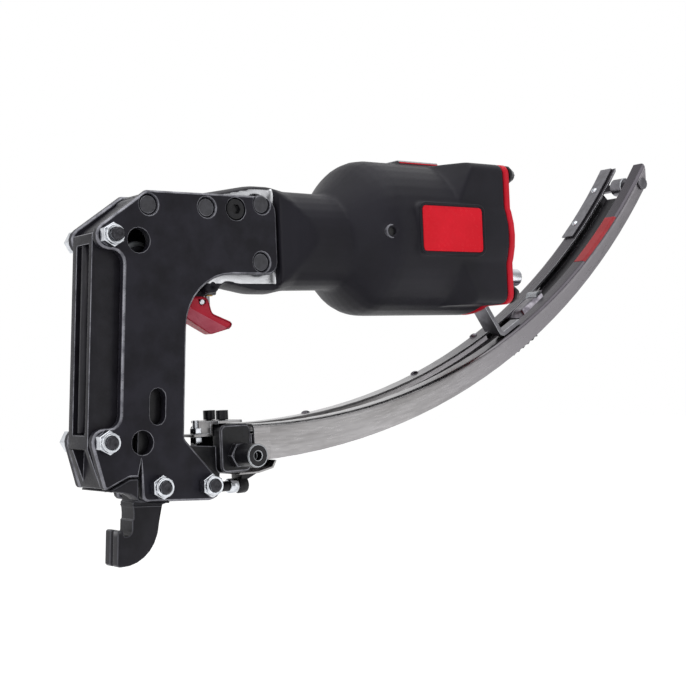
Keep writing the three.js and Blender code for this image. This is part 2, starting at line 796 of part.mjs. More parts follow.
/** The anvil: a hook below, a collar in the plates' notch and a tongue between the plates. */
function anvilHook() {
  const n = ANVIL;
  const hook = rounded([
    leant(n.throatA, n.rootH + OVERRUN),
    leant(n.throatA, n.throatH, n.corner),
    leant(n.tipBackA, n.throatH, n.corner / 4),
    leant(n.tipBackA - GAP, n.tipH, n.corner / 4),
    leant(n.tipA, n.tipH, n.corner / 3),
    leant(n.tipA, n.footH, n.corner / 2),
    leant(n.elbowA, n.footH, n.elbow),
    leant(n.waistA, n.waistH, n.corner),
    leant(n.heelA - n.edge, n.rootH, n.corner),
    leant(n.heelA, n.rootH + OVERRUN),
  ]);
  const collar = rounded([
    leant(n.cheekTipA, n.cheekTipH, n.edge),
    leant(n.cheekMidA, PLATE.lipRightH - n.cheekDrop, PLATE.toeCorner),
    leant(PLATE.slitLeftA - GAP, PLATE.lipRightH - GAP),
    leant(PLATE.slitLeftA, n.collarH),
    leant(n.heelA, n.collarH, n.edge),
    leant(n.heelA - n.edge, n.rootH, n.edge),
    leant(n.windowA, n.rootH, n.corner),
  ]);
  const tongue = rounded([
    leant(n.tongueA, n.rootH + GAP),
    leant(n.tongueA, n.tongueTopH, n.edge),
    leant(n.tongueBackA, n.tongueTopH, n.edge),
    leant(n.tongueBackA, n.collarH + GAP, n.edge),
    leant(n.heelA - n.edge, n.rootH + GAP),
  ]);
  const window = rounded([
    leant(n.windowA, n.tongueTopH + OVERRUN),
    leant(n.throatA, n.tongueTopH + OVERRUN),
    leant(n.throatA, n.rootH - OVERRUN),
    leant(n.windowA, n.rootH - OVERRUN),
  ]);
  const grooveCorners = [
    new THREE.Vector2(-n.grooveHalf, 0),
    new THREE.Vector2(n.grooveHalf, 0),
    new THREE.Vector2(0, n.groove),
  ];
  const groove = slabZ(grooveCorners, n.footH - OVERRUN * 2, n.tipH + OVERRUN);
  groove.rotateZ(-Math.PI / 2).translate(n.tipA - GAP, 0, 0);
  const between = slabY(window, -n.windowHalf, n.windowHalf);
  const underFar = rounded([
    leant(n.cheekTipA - OVERRUN, n.farCheekH),
    leant(n.throatA, n.farCheekH),
    leant(n.throatA, n.rootH - OVERRUN),
    leant(n.cheekTipA - OVERRUN, n.rootH - OVERRUN),
  ]);
  const farTrim = slabY(underFar, n.half, n.wideHalf + OVERRUN);
  const bolt = leant(BOLT_PLACES.heel.a, BOLT_PLACES.heel.h).slice(0, 2);
  const boltHole = slabY(circle(...bolt, BOLT.radius + FIT), -n.wideHalf, n.wideHalf);
  const body = join(
    slabY(hook, -n.half, n.half),
    slabY(collar, -n.wideHalf, n.wideHalf, PLATE.bevel / 2),
    slabY(tongue, -n.tongueHalf, n.tongueHalf),
  );
  return cut(body, between, onArm(groove), boltHole, farTrim);
}

/** Moves a geometry made on the arm's own axes into the tool's axes. */
function onArm(geometry) {
  geometry.rotateY(LEAN);
  return geometry.translate(ARM.x, 0, ARM.z);
}

/** A bolt through both plates, its head on the right and its tail past the nut on the left. */
function frameBolt({ a, h }) {
  const [x, z] = leant(a, h);
  const face = PLATE.inner + PLATE.thick + GAP;
  const shank = barY(x, z, BOLT.radius, -face - BOLT.tail, face + GAP, GAP);
  const head = slabY(hexagon(x, z, BOLT.headRadius), face, face + BOLT.headHigh, GAP);
  return join(shank, head);
}

/** A hexagon nut with the round collar of a locking nut. */
function lockNut({ a, h }) {
  const [x, z] = leant(a, h);
  const face = -PLATE.inner - PLATE.thick - GAP;
  const hex = slabY(hexagon(x, z, BOLT.headRadius, Math.PI / 6), face - NUT.high, face, GAP);
  const collar = barY(x, z, NUT.collarRadius, face - NUT.high - NUT.collar, face - NUT.high + GAP, GAP);
  const bore = barY(x, z, BOLT.radius + FIT, face - NUT.high - OVERRUN, face + OVERRUN);
  return cut(join(hex, collar), bore);
}

function dowelPin({ x, z }) {
  const end = PLATE.inner + PLATE.thick - DOWEL.sunk;
  return barY(x, z, DOWEL.radius, -end, end, DOWEL.chamfer);
}

function frameScrew() {
  const s = FRAME_SCREW;
  const floor = -PLATE.inner - PLATE.thick + s.headHigh - GAP;
  const end = PLATE.inner + PLATE.thick - GAP;
  const head = barY(s.x, s.z, s.headRadius, floor - s.headHigh + GAP, floor, GAP);
  const shank = barY(s.x, s.z, s.radius, floor - GAP, end);
  const socket = slabY(hexagon(s.x, s.z, s.socket), floor - s.headHigh - OVERRUN, floor - s.headHigh + s.socketDeep);
  return cut(join(head, shank), socket);
}

// Housing and cylinder.

/** The grip neck, turned, with flats milled for the plates. */
function neck() {
  const n = NECK;
  const profile = [
    [n.frontX, 0],
    [n.frontX, n.frontRadius],
    [n.coneX, n.coneRadius, n.coneRound],
    [n.bellyX, n.bellyRadius, n.bellyRound],
    [n.shoulderX, n.bellyRadius, n.shoulderRound],
    [n.gripX, n.gripRadius, n.gripRound],
    [n.endX, n.endRadius],
    [n.endX, 0],
  ];
  const far = n.bellyRadius + OVERRUN;
  const flat = (side) => {
    const inner = side * GUIDE.half;
    const outer = side * far;
    return box(n.frontX - OVERRUN, n.shoulderX, Math.min(inner, outer), Math.max(inner, outer), -far - OVERRUN, far);
  };
  return cut(turnedX(profile, 0, n.axisZ), flat(-1), flat(1));
}

/** The cylinder's outside, with a square flange whose corners run out in ramps. */
function barrel() {
  const c = CYLINDER;
  const round = turnedX(
    [
      [c.startX, 0],
      [c.startX, c.startRadius],
      [c.shoulderX, c.shoulderRadius, c.shoulderRound],
      [c.coneX, c.radius, c.fillet],
      [c.rearX, c.radius],
      [c.rearX, 0],
    ],
    0,
    c.axisZ,
  );
  const f = FLANGE;
  const square = slabX(flangeOutline(), f.rampX - OVERRUN, c.rearX);
  const diagonal = f.half * Math.SQRT2;
  const ramp = turnedX(
    [
      [f.rampX, 0],
      [f.rampX, c.radius - GAP],
      [f.startX, diagonal],
      [c.rearX + OVERRUN, diagonal],
      [c.rearX + OVERRUN, 0],
    ],
    0,
    f.z,
  );
  return join(round, common(square, ramp));
}

function flangeOutline() {
  const f = FLANGE;
  return rounded([
    [-f.half, f.z - f.half, f.corner],
    [f.half, f.z - f.half, f.corner],
    [f.half, f.z + f.half, f.corner],
    [-f.half, f.z + f.half, f.corner],
  ]);
}

function badgePad() {
  const p = PAD;
  const outer = rounded([
    [p.front, p.bottom, p.corner],
    [p.rear, p.bottom, p.corner],
    [p.rear, p.top, p.corner],
    [p.front, p.top, p.corner],
  ]);
  return slabY(outer, -badgeFaceY(), -boreRadius() - OVERRUN, p.rim / 2);
}

function badgeOutline(inset) {
  const p = PAD;
  return rounded([
    [p.front + inset, p.bottom + inset, p.corner - p.rim],
    [p.rear - inset, p.bottom + inset, p.corner - p.rim],
    [p.rear - inset, p.top - inset, p.corner - p.rim],
    [p.front + inset, p.top - inset, p.corner - p.rim],
  ]);
}

/** The room in the neck for the bell crank, as an outline in X and Z. */
function crankRoom() {
  const v = CAVITY;
  return rounded([
    [NECK.frontX - OVERRUN, v.topZ],
    [v.rearX, v.topZ],
    [v.rearX, v.shelfZ],
    [v.waistX, v.waistZ],
    [CRANK.x + v.boss, CRANK.z],
    [CRANK.x + v.boss * Math.SQRT1_2, CRANK.z - v.boss * Math.SQRT1_2],
    [CRANK.x, CRANK.z - v.boss],
    [NECK.frontX - OVERRUN - v.boss, CRANK.z - v.boss],
  ]);
}

/** The way of the lever's nose arm at the stroke's end, as an outline in X and Z. */
function crankSweep() {
  const x = CRANK.noseX - CRANK.x;
  const z = CRANK.noseZ - CRANK.z;
  const low = [
    CRANK.x + x * Math.cos(CRANK_TURN) - z * Math.sin(CRANK_TURN),
    CRANK.z + x * Math.sin(CRANK_TURN) + z * Math.cos(CRANK_TURN),
  ];
  return straightArm([CRANK.x, CRANK.z], low, CRANK.noseArm + CRANK.sweepPlay);
}

function housing() {
  const c = CYLINDER;
  const lug = rounded([
    [LUG.frontX, CHIN.rootZ],
    [LUG.frontX, LUG.bottomZ, LUG.corner],
    [LUG.rearX - LUG.corner, LUG.bottomZ, LUG.corner],
    [LUG.rearX, CHIN.rootZ - LUG.corner, LUG.corner],
    [LUG.rearX + LUG.corner * 2, CHIN.rootZ],
  ]);
  const chin = rounded([
    [CHIN.frontX, CHIN.frontZ, CHIN.edge],
    [CHIN.frontX, CHIN.shelfZ, CHIN.edge],
    [CHIN.waistX, CHIN.shelfZ],
    [CHIN.waistX, CHIN.bottomZ, CHIN.corner],
    [CHIN.rearX, CHIN.bottomZ, CHIN.corner],
    [CHIN.rearX, CHIN.rootZ],
    [NECK.frontX, CHIN.rootZ],
  ]);
  const port = turnedY(
    [
      [-PORT.root, 0],
      [-PORT.root, PORT.radius + OVERRUN],
      [-portFaceY(), PORT.radius, PORT.round],
      [-portFaceY(), 0],
    ],
    PORT.x,
    PORT.z,
  );
  const topPad = rounded([
    [-TOP_PAD.half, boreRadius()],
    [TOP_PAD.half, boreRadius()],
    [TOP_PAD.half, topPadZ(), TOP_PAD.edge],
    [-TOP_PAD.half, topPadZ(), TOP_PAD.edge],
  ]);
  const valveBoss = barZ(VALVE.x, 0, VALVE.radius + VALVE.boss, VALVE.bottomZ + GAP, CHIN.rootZ);
  const body = join(
    neck(),
    barrel(),
    badgePad(),
    port,
    slabX(topPad, TOP_PAD.front, TOP_PAD.rear),
    slabY(lug, -GUIDE.half, GUIDE.half),
    slabY(chin, -CHIN.half, CHIN.half),
    valveBoss,
  );
  const capScrews = capScrewPlaces().map(([y, z]) =>
    barX(y, z, CAP_SCREW.radius + FIT, c.rearX - CAP_SCREW.grip, c.rearX + OVERRUN),
  );
  const dowels = ["middle", "rear", "low"].map((name) => {
    const { x, z } = DOWEL_PLACES[name];
    return barY(x, z, DOWEL.radius + FIT, -NECK.bellyRadius, NECK.bellyRadius);
  });
  const reach = GUIDE.half + OVERRUN;
  return cut(
    body,
    barX(0, c.axisZ, boreRadius(), c.boreFrontX, c.rearX + OVERRUN),
    barX(0, c.axisZ, ROD.radius + ROD.play, NECK.frontX - OVERRUN, c.boreFrontX + OVERRUN),
    slabY(crankRoom(), -CAVITY.half, CAVITY.half),
    slabY(crankSweep(), -CAVITY.half, CAVITY.half),
    barY(CRANK.x, CRANK.z, CRANK.pin + FIT, -reach, reach),
    barY(FRAME_SCREW.x, FRAME_SCREW.z, FRAME_SCREW.radius + FIT, -reach, reach),
    slabY(badgeOutline(PAD.rim), -badgeFaceY() - OVERRUN, -badgeFaceY() + PAD.deep),
    barY(PORT.x, PORT.z, PORT.bore, -portFaceY() - OVERRUN, -portFaceY() + PORT.deep),
    barY(LUG.pinX, LUG.pinZ, LUG.pinRadius, -reach, -GUIDE.half + OVERRUN),
    barY(TRIGGER.pinX, TRIGGER.pinZ, TRIGGER.pinRadius + FIT, -reach, reach),
    barZ(VALVE.x, 0, VALVE.radius + FIT, VALVE.bottomZ - OVERRUN, VALVE.topZ + GAP),
    ...capScrews,
    ...dowels,
  );
}

function badgePlate() {
  const face = -badgeFaceY() + GAP / 2;
  return slabY(badgeOutline(PAD.rim + GAP), face, -badgeFaceY() + PAD.deep - GAP / 2);
}

function topLabel() {
  const p = TOP_PAD;
  const low = topPadZ() + GAP / 2;
  return box(p.front + p.edge, p.rear - p.edge, -p.half + p.edge, p.half - p.edge, low, low + p.label);
}

function capScrewPlaces() {
  const y = FLANGE.half - CAP.screwInsetY;
  const rise = FLANGE.half - CAP.screwInsetZ;
  return [
    [-y, FLANGE.z + rise],
    [y, FLANGE.z + rise],
    [y, FLANGE.z - rise],
    [-y, FLANGE.z - rise],
  ];
}

/** The red cap: the flange's outline with the cylinder's round standing out of its sides, and a spigot in the bore. */
function endCap() {
  const c = CYLINDER;
  const front = c.rearX + GAP;
  const rear = front + CAP.thick;
  const square = slabX(flangeOutline(), front, rear, CAP.bevel);
  const round = slabX(circle(0, c.axisZ, c.radius), front, rear, CAP.bevel);
  const spigot = barX(0, c.axisZ, boreRadius() - GAP, front - CAP.spigot, front + GAP);
  const screws = capScrewPlaces().map(([y, z]) =>
    barX(y, z, CAP_SCREW.radius + FIT, front - OVERRUN, rear + OVERRUN),
  );
  const inlet = barX(0, INLET.z, INLET.neckRadius + FIT, front - CAP.spigot - OVERRUN, rear + OVERRUN);
  return cut(join(square, round, spigot), ...screws, inlet);
}

/** A button head screw that holds the cap. */
function capScrew([y, z]) {
  const s = CAP_SCREW;
  const seat = capRearX() + GAP;
  const profile = [
    [seat, 0],
    [seat, s.headRadius],
    [seat + s.headHigh / 3, s.headRadius, s.headHigh / 4],
    [seat + s.headHigh, s.headRadius / 2, s.headHigh / 3],
    [seat + s.headHigh, 0],
  ];
  const shank = barX(y, z, s.radius, CYLINDER.rearX - s.grip + GAP, seat + GAP);
  const socket = slabX(hexagon(y, z, s.socket), seat + s.headHigh - s.socketDeep, seat + s.headHigh + OVERRUN);
  return cut(join(turnedX(profile, y, z), shank), socket);
}

/** The plug that the air hose's coupling takes, with its hexagon on the cap. */
function airInlet() {
  const i = INLET;
  const seat = capRearX() + GAP;
  const hexEnd = seat + i.hexHigh;
  const rear = capRearX() + i.reach;
  const ring = rear - i.barbRadius * 2;
  const profile = [
    [CYLINDER.rearX - CAP.spigot, 0],
    [CYLINDER.rearX - CAP.spigot, i.neckRadius],
    [hexEnd + i.barbRadius, i.neckRadius],
    [hexEnd + i.barbRadius * 2, i.barbRadius + i.bead, i.bead],
    [ring - i.barbRadius, i.neckRadius, i.bead],
    [ring, i.neckRadius, i.bead],
    [ring + i.barbRadius / 2, i.barbRadius, i.bead],
    [rear, i.barbRadius, i.round],
    [rear, 0],
  ];
  const hex = slabX(hexagon(0, i.z, i.hexRadius), seat, hexEnd, GAP);
  const bore = barX(0, i.z, i.bore, rear - i.deep, rear + OVERRUN);
  return cut(join(turnedX(profile, 0, i.z), hex), bore);
}

function pistonRadius() {
  return boreRadius() - PISTON.clearance;
}

function piston() {
  const p = PISTON;
  const radius = pistonRadius();
  const middle = (p.frontX + p.rearX) / 2;
  const groove = p.seal - GAP;
  const profile = [
    [p.frontX, ROD.radius + FIT],
    [p.frontX, radius, p.round],
    [middle - p.seal, radius],
    [middle - p.seal, radius - groove - GAP],
    [middle + p.seal, radius - groove - GAP],
    [middle + p.seal, radius],
    [p.rearX, radius, p.round],
    [p.rearX, p.hub],
    [p.rearX - p.dish, p.hub],
    [p.rearX - p.dish, ROD.radius + FIT],
  ];
  return turnedX(profile, 0, CYLINDER.axisZ);
}

function pistonSeal() {
  const p = PISTON;
  const middle = (p.frontX + p.rearX) / 2;
  const inner = pistonRadius() - p.seal + GAP;
  const outer = boreRadius() - FIT / 2;
  const half = p.seal - GAP;
  const profile = [
    [middle - half, inner],
    [middle - half, outer, half / 2],
    [middle + half, outer, half / 2],
    [middle + half, inner],
  ];
  return turnedX(profile, 0, CYLINDER.axisZ);
}

/** Where the rod's tip stands when the piston is home: just behind the crank's roller. */
function rodTip() {
  return CRANK.rodX + CRANK.rodRoller + CRANK.contact;
}

function pistonRod() {
  const p = PISTON;
  const tip = rodTip();
  const profile = [
    [tip, 0],
    [tip, ROD.tipRadius, ROD.tipRound],
    [tip + ROD.tipReach, ROD.tipRadius],
    [tip + ROD.tipReach, ROD.radius, ROD.shoulder],
    [p.rearX - p.dish - GAP, ROD.radius],
    [p.rearX - p.dish - GAP, 0],
  ];
  const seat = p.rearX - p.dish;
  const head = barX(0, CYLINDER.axisZ, p.hub - OVERRUN, seat + GAP, p.rearX - p.cover);
  const link = barX(0, CYLINDER.axisZ, ROD.radius, seat - p.cover, seat + p.cover);
  return join(turnedX(profile, 0, CYLINDER.axisZ), link, head);
}

/** The rubber ring that stops the piston at the bore's front. */
function bumper() {
  const b = BUMPER;
  const front = CYLINDER.boreFrontX + GAP;
  const inner = ROD.radius + ROD.play + FIT;
  const profile = [
    [front, inner],
    [front, b.radius, b.round],
    [front + b.deep - b.lip, b.radius, b.round * 2],
    [front + b.deep, b.radius - b.lip, b.round],
    [front + b.deep, inner, b.round],
  ];
  return turnedX(profile, 0, CYLINDER.axisZ);
}

// Drive.

function straightArm(from, to, half) {
  const along = new THREE.Vector2(to[0] - from[0], to[1] - from[1]).normalize();
  const side = new THREE.Vector2(-along.y, along.x).multiplyScalar(half);
  return [
    new THREE.Vector2(from[0] - side.x, from[1] - side.y),
    new THREE.Vector2(to[0] - side.x, to[1] - side.y),
    new THREE.Vector2(to[0] + side.x, to[1] + side.y),
    new THREE.Vector2(from[0] + side.x, from[1] + side.y),
  ];
}

/** The lever between rod and driver, forked at both ends for its rollers. */
function bellCrank() {
  const k = CRANK;
  const pivot = [k.x, k.z];
  const nose = [k.noseX, k.noseZ];
  const rod = [k.rodX, k.rodZ];
  const blank = join(
    barY(k.x, k.z, k.boss, -k.half, k.half),
    slabY(straightArm(pivot, nose, k.noseArm), -k.half, k.half),
    slabY(straightArm(pivot, rod, k.rodArm), -k.half, k.half),
    barY(...nose, k.noseEye, -k.half, k.half),
    barY(...rod, k.rodEye, -k.half, k.half),
  );
  const reach = k.half + OVERRUN;
  return cut(
    blank,
    barY(...nose, k.noseRoller + GAP * 2, -k.forkHalf, k.forkHalf),
    barY(...rod, k.rodRoller + GAP * 2, -k.forkHalf, k.forkHalf),
    barY(...nose, k.rollerPin + FIT, -reach, reach),
    barY(...rod, k.rollerPin + FIT, -reach, reach),
    barY(...pivot, k.pin + FIT, -reach, reach),
  );
}

function roller(x, z, radius) {
  const half = CRANK.rollerHalf;
  const rim = barY(x, z, radius, -half, half, GAP);
  return cut(rim, barY(x, z, CRANK.rollerPin + FIT, -half - OVERRUN, half + OVERRUN));
}

function driverTopH() {
  const dx = CRANK.noseX - ARM.x;
  const dz = CRANK.noseZ - ARM.z;
  return dx * Math.sin(LEAN) + dz * Math.cos(LEAN) - CRANK.noseRoller - CRANK.contact;
}

/** The driver: a head under the crank's roller and a blade that pushes the clip over the anvil. */
function driver() {
  const d = DRIVER;
  const top = driverTopH();
  const wide = rounded([
    leant(d.front, top, d.edge),
    leant(d.headBack, top, d.edge),
    leant(d.headBack, top - d.headThick, d.headCorner),
    leant(d.back, top - d.headThick, d.headCorner),
    leant(d.back, d.shoulderH),
    leant(d.front, d.shoulderH),
  ]);
  const blade = rounded([
    leant(d.front, d.shoulderH + OVERRUN),
    leant(d.back, d.shoulderH + OVERRUN),
    leant(d.back, d.endH),
    leant(d.front, d.endH),
  ]);
  return join(slabY(wide, -d.half, d.half), slabY(blade, -d.bladeHalf, d.bladeHalf));
}

/** The spring that lifts the driver, upright between the block's top and the driver's head. */
function driverSpring() {
  const top = driverTopH() - DRIVER.headThick - GAP;
  const wound = coil(SPRING.radius, SPRING.wire, SPRING.turns, SPRING.bottomH + GAP, top);
  return onArm(wound.translate(SPRING.a, 0, 0));
}

// Trigger and valve.

function triggerOutline() {
  const t = TRIGGER;
  return rounded([
    [t.topFrontX, t.topFrontZ, t.corner / 2],
    [t.topRearX, t.topFrontZ, t.corner],
    [t.neckX, t.neckZ, t.corner],
    [t.tipX, t.tipZ, t.corner / 2],
    [t.tipLowX, t.tipLowZ, t.corner / 2],
    [t.bellyX, t.bellyZ, t.corner],
    [t.frontX, t.frontZ, t.corner],
  ]);
}

/** What the two faces that lean inwards below the crease take off one side. */
function triggerTaper(side) {
  const t = TRIGGER;
  const lean = Math.atan2(t.tipLowZ - t.creaseZ, t.tipLowX - t.frontX);
  const long = t.tipX - t.frontX + t.half;
  const deep = t.creaseZ - t.bellyZ;
  const section = [
    new THREE.Vector2(side * t.half, 0),
    new THREE.Vector2(side * (t.half - deep * t.taper), -deep),
    new THREE.Vector2(side * (t.half + OVERRUN), -deep),
    new THREE.Vector2(side * (t.half + OVERRUN), 0),
  ];
  const wedge = slabX(side > 0 ? section.reverse() : section, -t.half, long);
  return wedge.rotateY(-lean).translate(t.frontX, 0, t.creaseZ);
}

/** The space between the cheeks: above the web, which runs from the front round the belly to the tip. */
function triggerHollow() {
  const t = TRIGGER;
  const front = t.topFrontX + t.web;
  return rounded([
    [front, t.topFrontZ + OVERRUN],
    [t.tipX, t.topFrontZ + OVERRUN],
    [t.tipX, t.tipZ + t.web / 2],
    [t.tipLowX, t.tipLowZ + t.web],
    [t.bellyX, t.bellyZ + t.lowWeb, t.corner],
    [front, t.creaseZ, t.corner],
  ]);
}

/** The trigger: a channel whose cheeks stand beside the chin and whose web takes the finger. */
function trigger() {
  const t = TRIGGER;
  const whole = slabY(triggerOutline(), -t.half, t.half, PLATE.bevel / 2);
  const body = cut(whole, triggerTaper(-1), triggerTaper(1));
  const inner = t.half - t.cheek;
  const hollow = slabY(triggerHollow(), -inner, inner);
  const edge = inner + GAP;
  const ledge = box(t.ledgeFrontX, t.ledgeRearX, -edge, edge, t.ledgeZ - t.ledgeThick, t.ledgeZ);
  const pinHole = barY(t.pinX, t.pinZ, t.pinRadius + FIT, -t.half - OVERRUN, t.half + OVERRUN);
  return cut(join(cut(body, hollow), ledge), pinHole);
}

function triggerPin() {
  const t = TRIGGER;
  return barY(t.pinX, t.pinZ, t.pinRadius, -t.half - GAP, t.half + GAP, GAP);
}

/** The valve's bush, open below for the stem. */
function valveBody() {
  const v = VALVE;
  const bush = barZ(v.x, 0, v.radius, v.bottomZ, v.topZ);
  const room = barZ(v.x, 0, v.radius - v.wall, v.bottomZ + v.wall, v.topZ - v.wall);
  const mouth = barZ(v.x, 0, v.stem + FIT, v.bottomZ - OVERRUN, v.bottomZ + OVERRUN);
  return cut(bush, room, mouth);
}

function collarZ() {
  return VALVE.bottomZ + VALVE.wall + GAP;
}

function valveStem() {
  const v = VALVE;
  const low = collarZ();
  const profile = [
    [v.stemBottomZ, 0],
    [v.stemBottomZ, v.stem, v.stemRound],
    [low, v.stem],
    [low, v.collar],
    [low + v.collarThick, v.collar],
    [low + v.collarThick, v.stem / 2],
    [low + v.collarThick + v.springHigh / 2, v.stem / 2],
    [low + v.collarThick + v.springHigh / 2, 0],
  ];
  return turnedZ(profile, v.x, 0);
}

function valveSpring() {
  const v = VALVE;
  const low = collarZ() + v.collarThick + FIT;
  const wound = coil(v.coil + v.wire / 2, v.wire, v.turns, low, v.topZ - v.wall - FIT);
  return wound.translate(v.x, 0, 0);
}

// Magazine.

function arcAngle(x) {
  return Math.asin((x - MAGAZINE.x) / MAGAZINE.radius);
}

function arcPoint(angle, depth) {
  const radius = MAGAZINE.radius + depth;
  return [MAGAZINE.x + radius * Math.sin(angle), MAGAZINE_Z - radius * Math.cos(angle)];
}

/** An outline in X and Z between two depths below the magazine's top, along its arc. */
function arcBand(fromX, toX, top, bottom) {
  const from = arcAngle(fromX);
  const to = arcAngle(toX);
  const steps = Math.max(1, Math.round((to - from) / MAGAZINE_STEP));
  const along = (depth) =>
    Array.from({ length: steps + 1 }, (_, i) => {
      const [x, z] = arcPoint(from + ((to - from) * i) / steps, depth);
      return new THREE.Vector2(x, z);
    });
  return [...along(bottom), ...along(top).reverse()];
}

/** The room between the magazine's top and the walls' lower edges, which rise towards the rear. */
function wallLimit() {
  const m = MAGAZINE;
  const from = arcAngle(m.frontX) - MAGAZINE_STEP * 2;
  const to = arcAngle(m.rearX) + MAGAZINE_STEP * 2;
  const steps = Math.round((to - from) / MAGAZINE_STEP);
  const along = (depthAt) =>
    Array.from({ length: steps + 1 }, (_, i) => {
      const share = i / steps;
      const [x, z] = arcPoint(from + (to - from) * share, depthAt(share));
      return new THREE.Vector2(x, z);
    });
  const lower = along((share) => m.wallRear + (m.wallFront - m.wallRear) * Math.pow(1 - share, WALL_TAPER));
  const upper = along(() => -OVERRUN).reverse();
  return slabY([...lower, ...upper], -m.half - OVERRUN, m.farHalf + OVERRUN);
}

class MagazineArc extends THREE.Curve {
  constructor(from, to) {
    super();
    this.from = from;
    this.to = to;
  }

  getPoint(t, target = new THREE.Vector3()) {
    const [x, z] = arcPoint(this.from + (this.to - this.from) * t, 0);
    return target.set(x, 0, z);
  }
}

/** One rail: a wall with its top folded inwards, bent along the magazine's arc. */
function magazineRail(side) {
  const m = MAGAZINE;
  const rearStart = arcAngle(m.rearX) + MAGAZINE_STEP;
  const half = side < 0 ? m.half : m.farHalf;
  const line = [
    [m.slotHalf, m.sheet / 2],
    [half - m.sheet / 2, m.sheet / 2],
    [half - m.sheet / 2, m.blank],
  ];
  const section = rounded(sheetCorners(line, m.sheet, m.bend - m.sheet)).map(
    (point) => new THREE.Vector2(-side * point.x, point.y),
  );
  const from = arcAngle(m.frontX - OVERRUN);
  const steps = Math.round((rearStart - from) / MAGAZINE_STEP);
  const path = new MagazineArc(from, rearStart);
  const swept = new THREE.ExtrudeGeometry(new THREE.Shape(section), { steps, extrudePath: path });
  const span = half + OVERRUN;
  const front = box(m.frontX - m.blank, m.frontX, -span, span, -m.radius, 0);
  const rear = box(m.rearX, m.rearX + m.blank * 2, -span, span, -m.radius, m.radius);
  const [pinX, pinZ] = arcPoint(arcAngle(END_PIN.x), END_PIN.depth);
  const pinHole = barY(pinX, pinZ, END_PIN.radius + FIT, -span, span);
  return cut(common(swept, wallLimit()), front, rear, pinHole);
}

/** The rail that the clips ride on, from behind the driver to the end pin. */
function clipRail() {
  const c = CLIP_RAIL;
  const [pinX, pinZ] = arcPoint(arcAngle(END_PIN.x), END_PIN.depth);
  const band = slabY(arcBand(c.frontX, END_PIN.x - END_PIN.roller - c.endPlay, c.top, c.bottom), -c.half, c.half);
  return cut(band, barY(pinX, pinZ, END_PIN.roller + c.endPlay, -c.half - OVERRUN, c.half + OVERRUN));
}

/** The saddle that pushes the clips forward along the rail. */
function pusher() {
  const p = PUSHER;
  const from = p.x - p.reach;
  const to = p.x + p.reach;
  const top = slabY(arcBand(from, to, p.top, p.under), -p.half, p.half);
  const legs = slabY(arcBand(from, to, p.legTop, p.under), -p.legHalf, p.legHalf);
  const body = join(top, legs);
  const c = CLIP_RAIL;
  const saddle = slabY(
    arcBand(from - OVERRUN, to + OVERRUN, c.top - p.play, p.under + OVERRUN),
    -c.half - p.play,
    c.half + p.play,
  );
  const [x, z] = rollPlace();
  const pocket = barY(x, z, p.rollRadius + FIT, -p.rollHalf - GAP, p.rollHalf + GAP);
  return cut(body, saddle, pocket);
}

function rollPlace() {
  const p = PUSHER;
  return arcPoint(arcAngle(p.x + p.rollBack), (p.top + CLIP_RAIL.top - p.play) / 2);
}

function pusherSpring() {
  const p = PUSHER;
  const [x, z] = rollPlace();
  const rim = barY(x, z, p.rollRadius, -p.rollHalf, p.rollHalf);
  return cut(rim, barY(x, z, p.rollRadius / 2, -p.rollHalf - OVERRUN, p.rollHalf + OVERRUN));
}

function endPin() {
  const e = END_PIN;
  const [x, z] = arcPoint(arcAngle(e.x), e.depth);
  const near = -MAGAZINE.half - GAP;
  const far = MAGAZINE.farHalf + GAP;
  return join(
    barY(x, z, e.radius, near - GAP, far + GAP),
    barY(x, z, e.head, near - e.headHigh, near, GAP),
    barY(x, z, e.head, far, far + e.headHigh, GAP),
  );
}

function endRoller() {
  const e = END_PIN;
  const [x, z] = arcPoint(arcAngle(e.x), e.depth);
  const rim = barY(x, z, e.roller, -e.rollerHalf, e.rollerHalf, GAP);
  return cut(rim, barY(x, z, e.radius + FIT, -e.rollerHalf - OVERRUN, e.rollerHalf + OVERRUN));
}

function endCover() {
  const c = COVER;
  const band = arcBand(c.startX, MAGAZINE.rearX - GAP, -c.lift - c.thick, -c.lift);
  return slabY(band, c.inner, c.outer);
}

// Mount of the magazine.

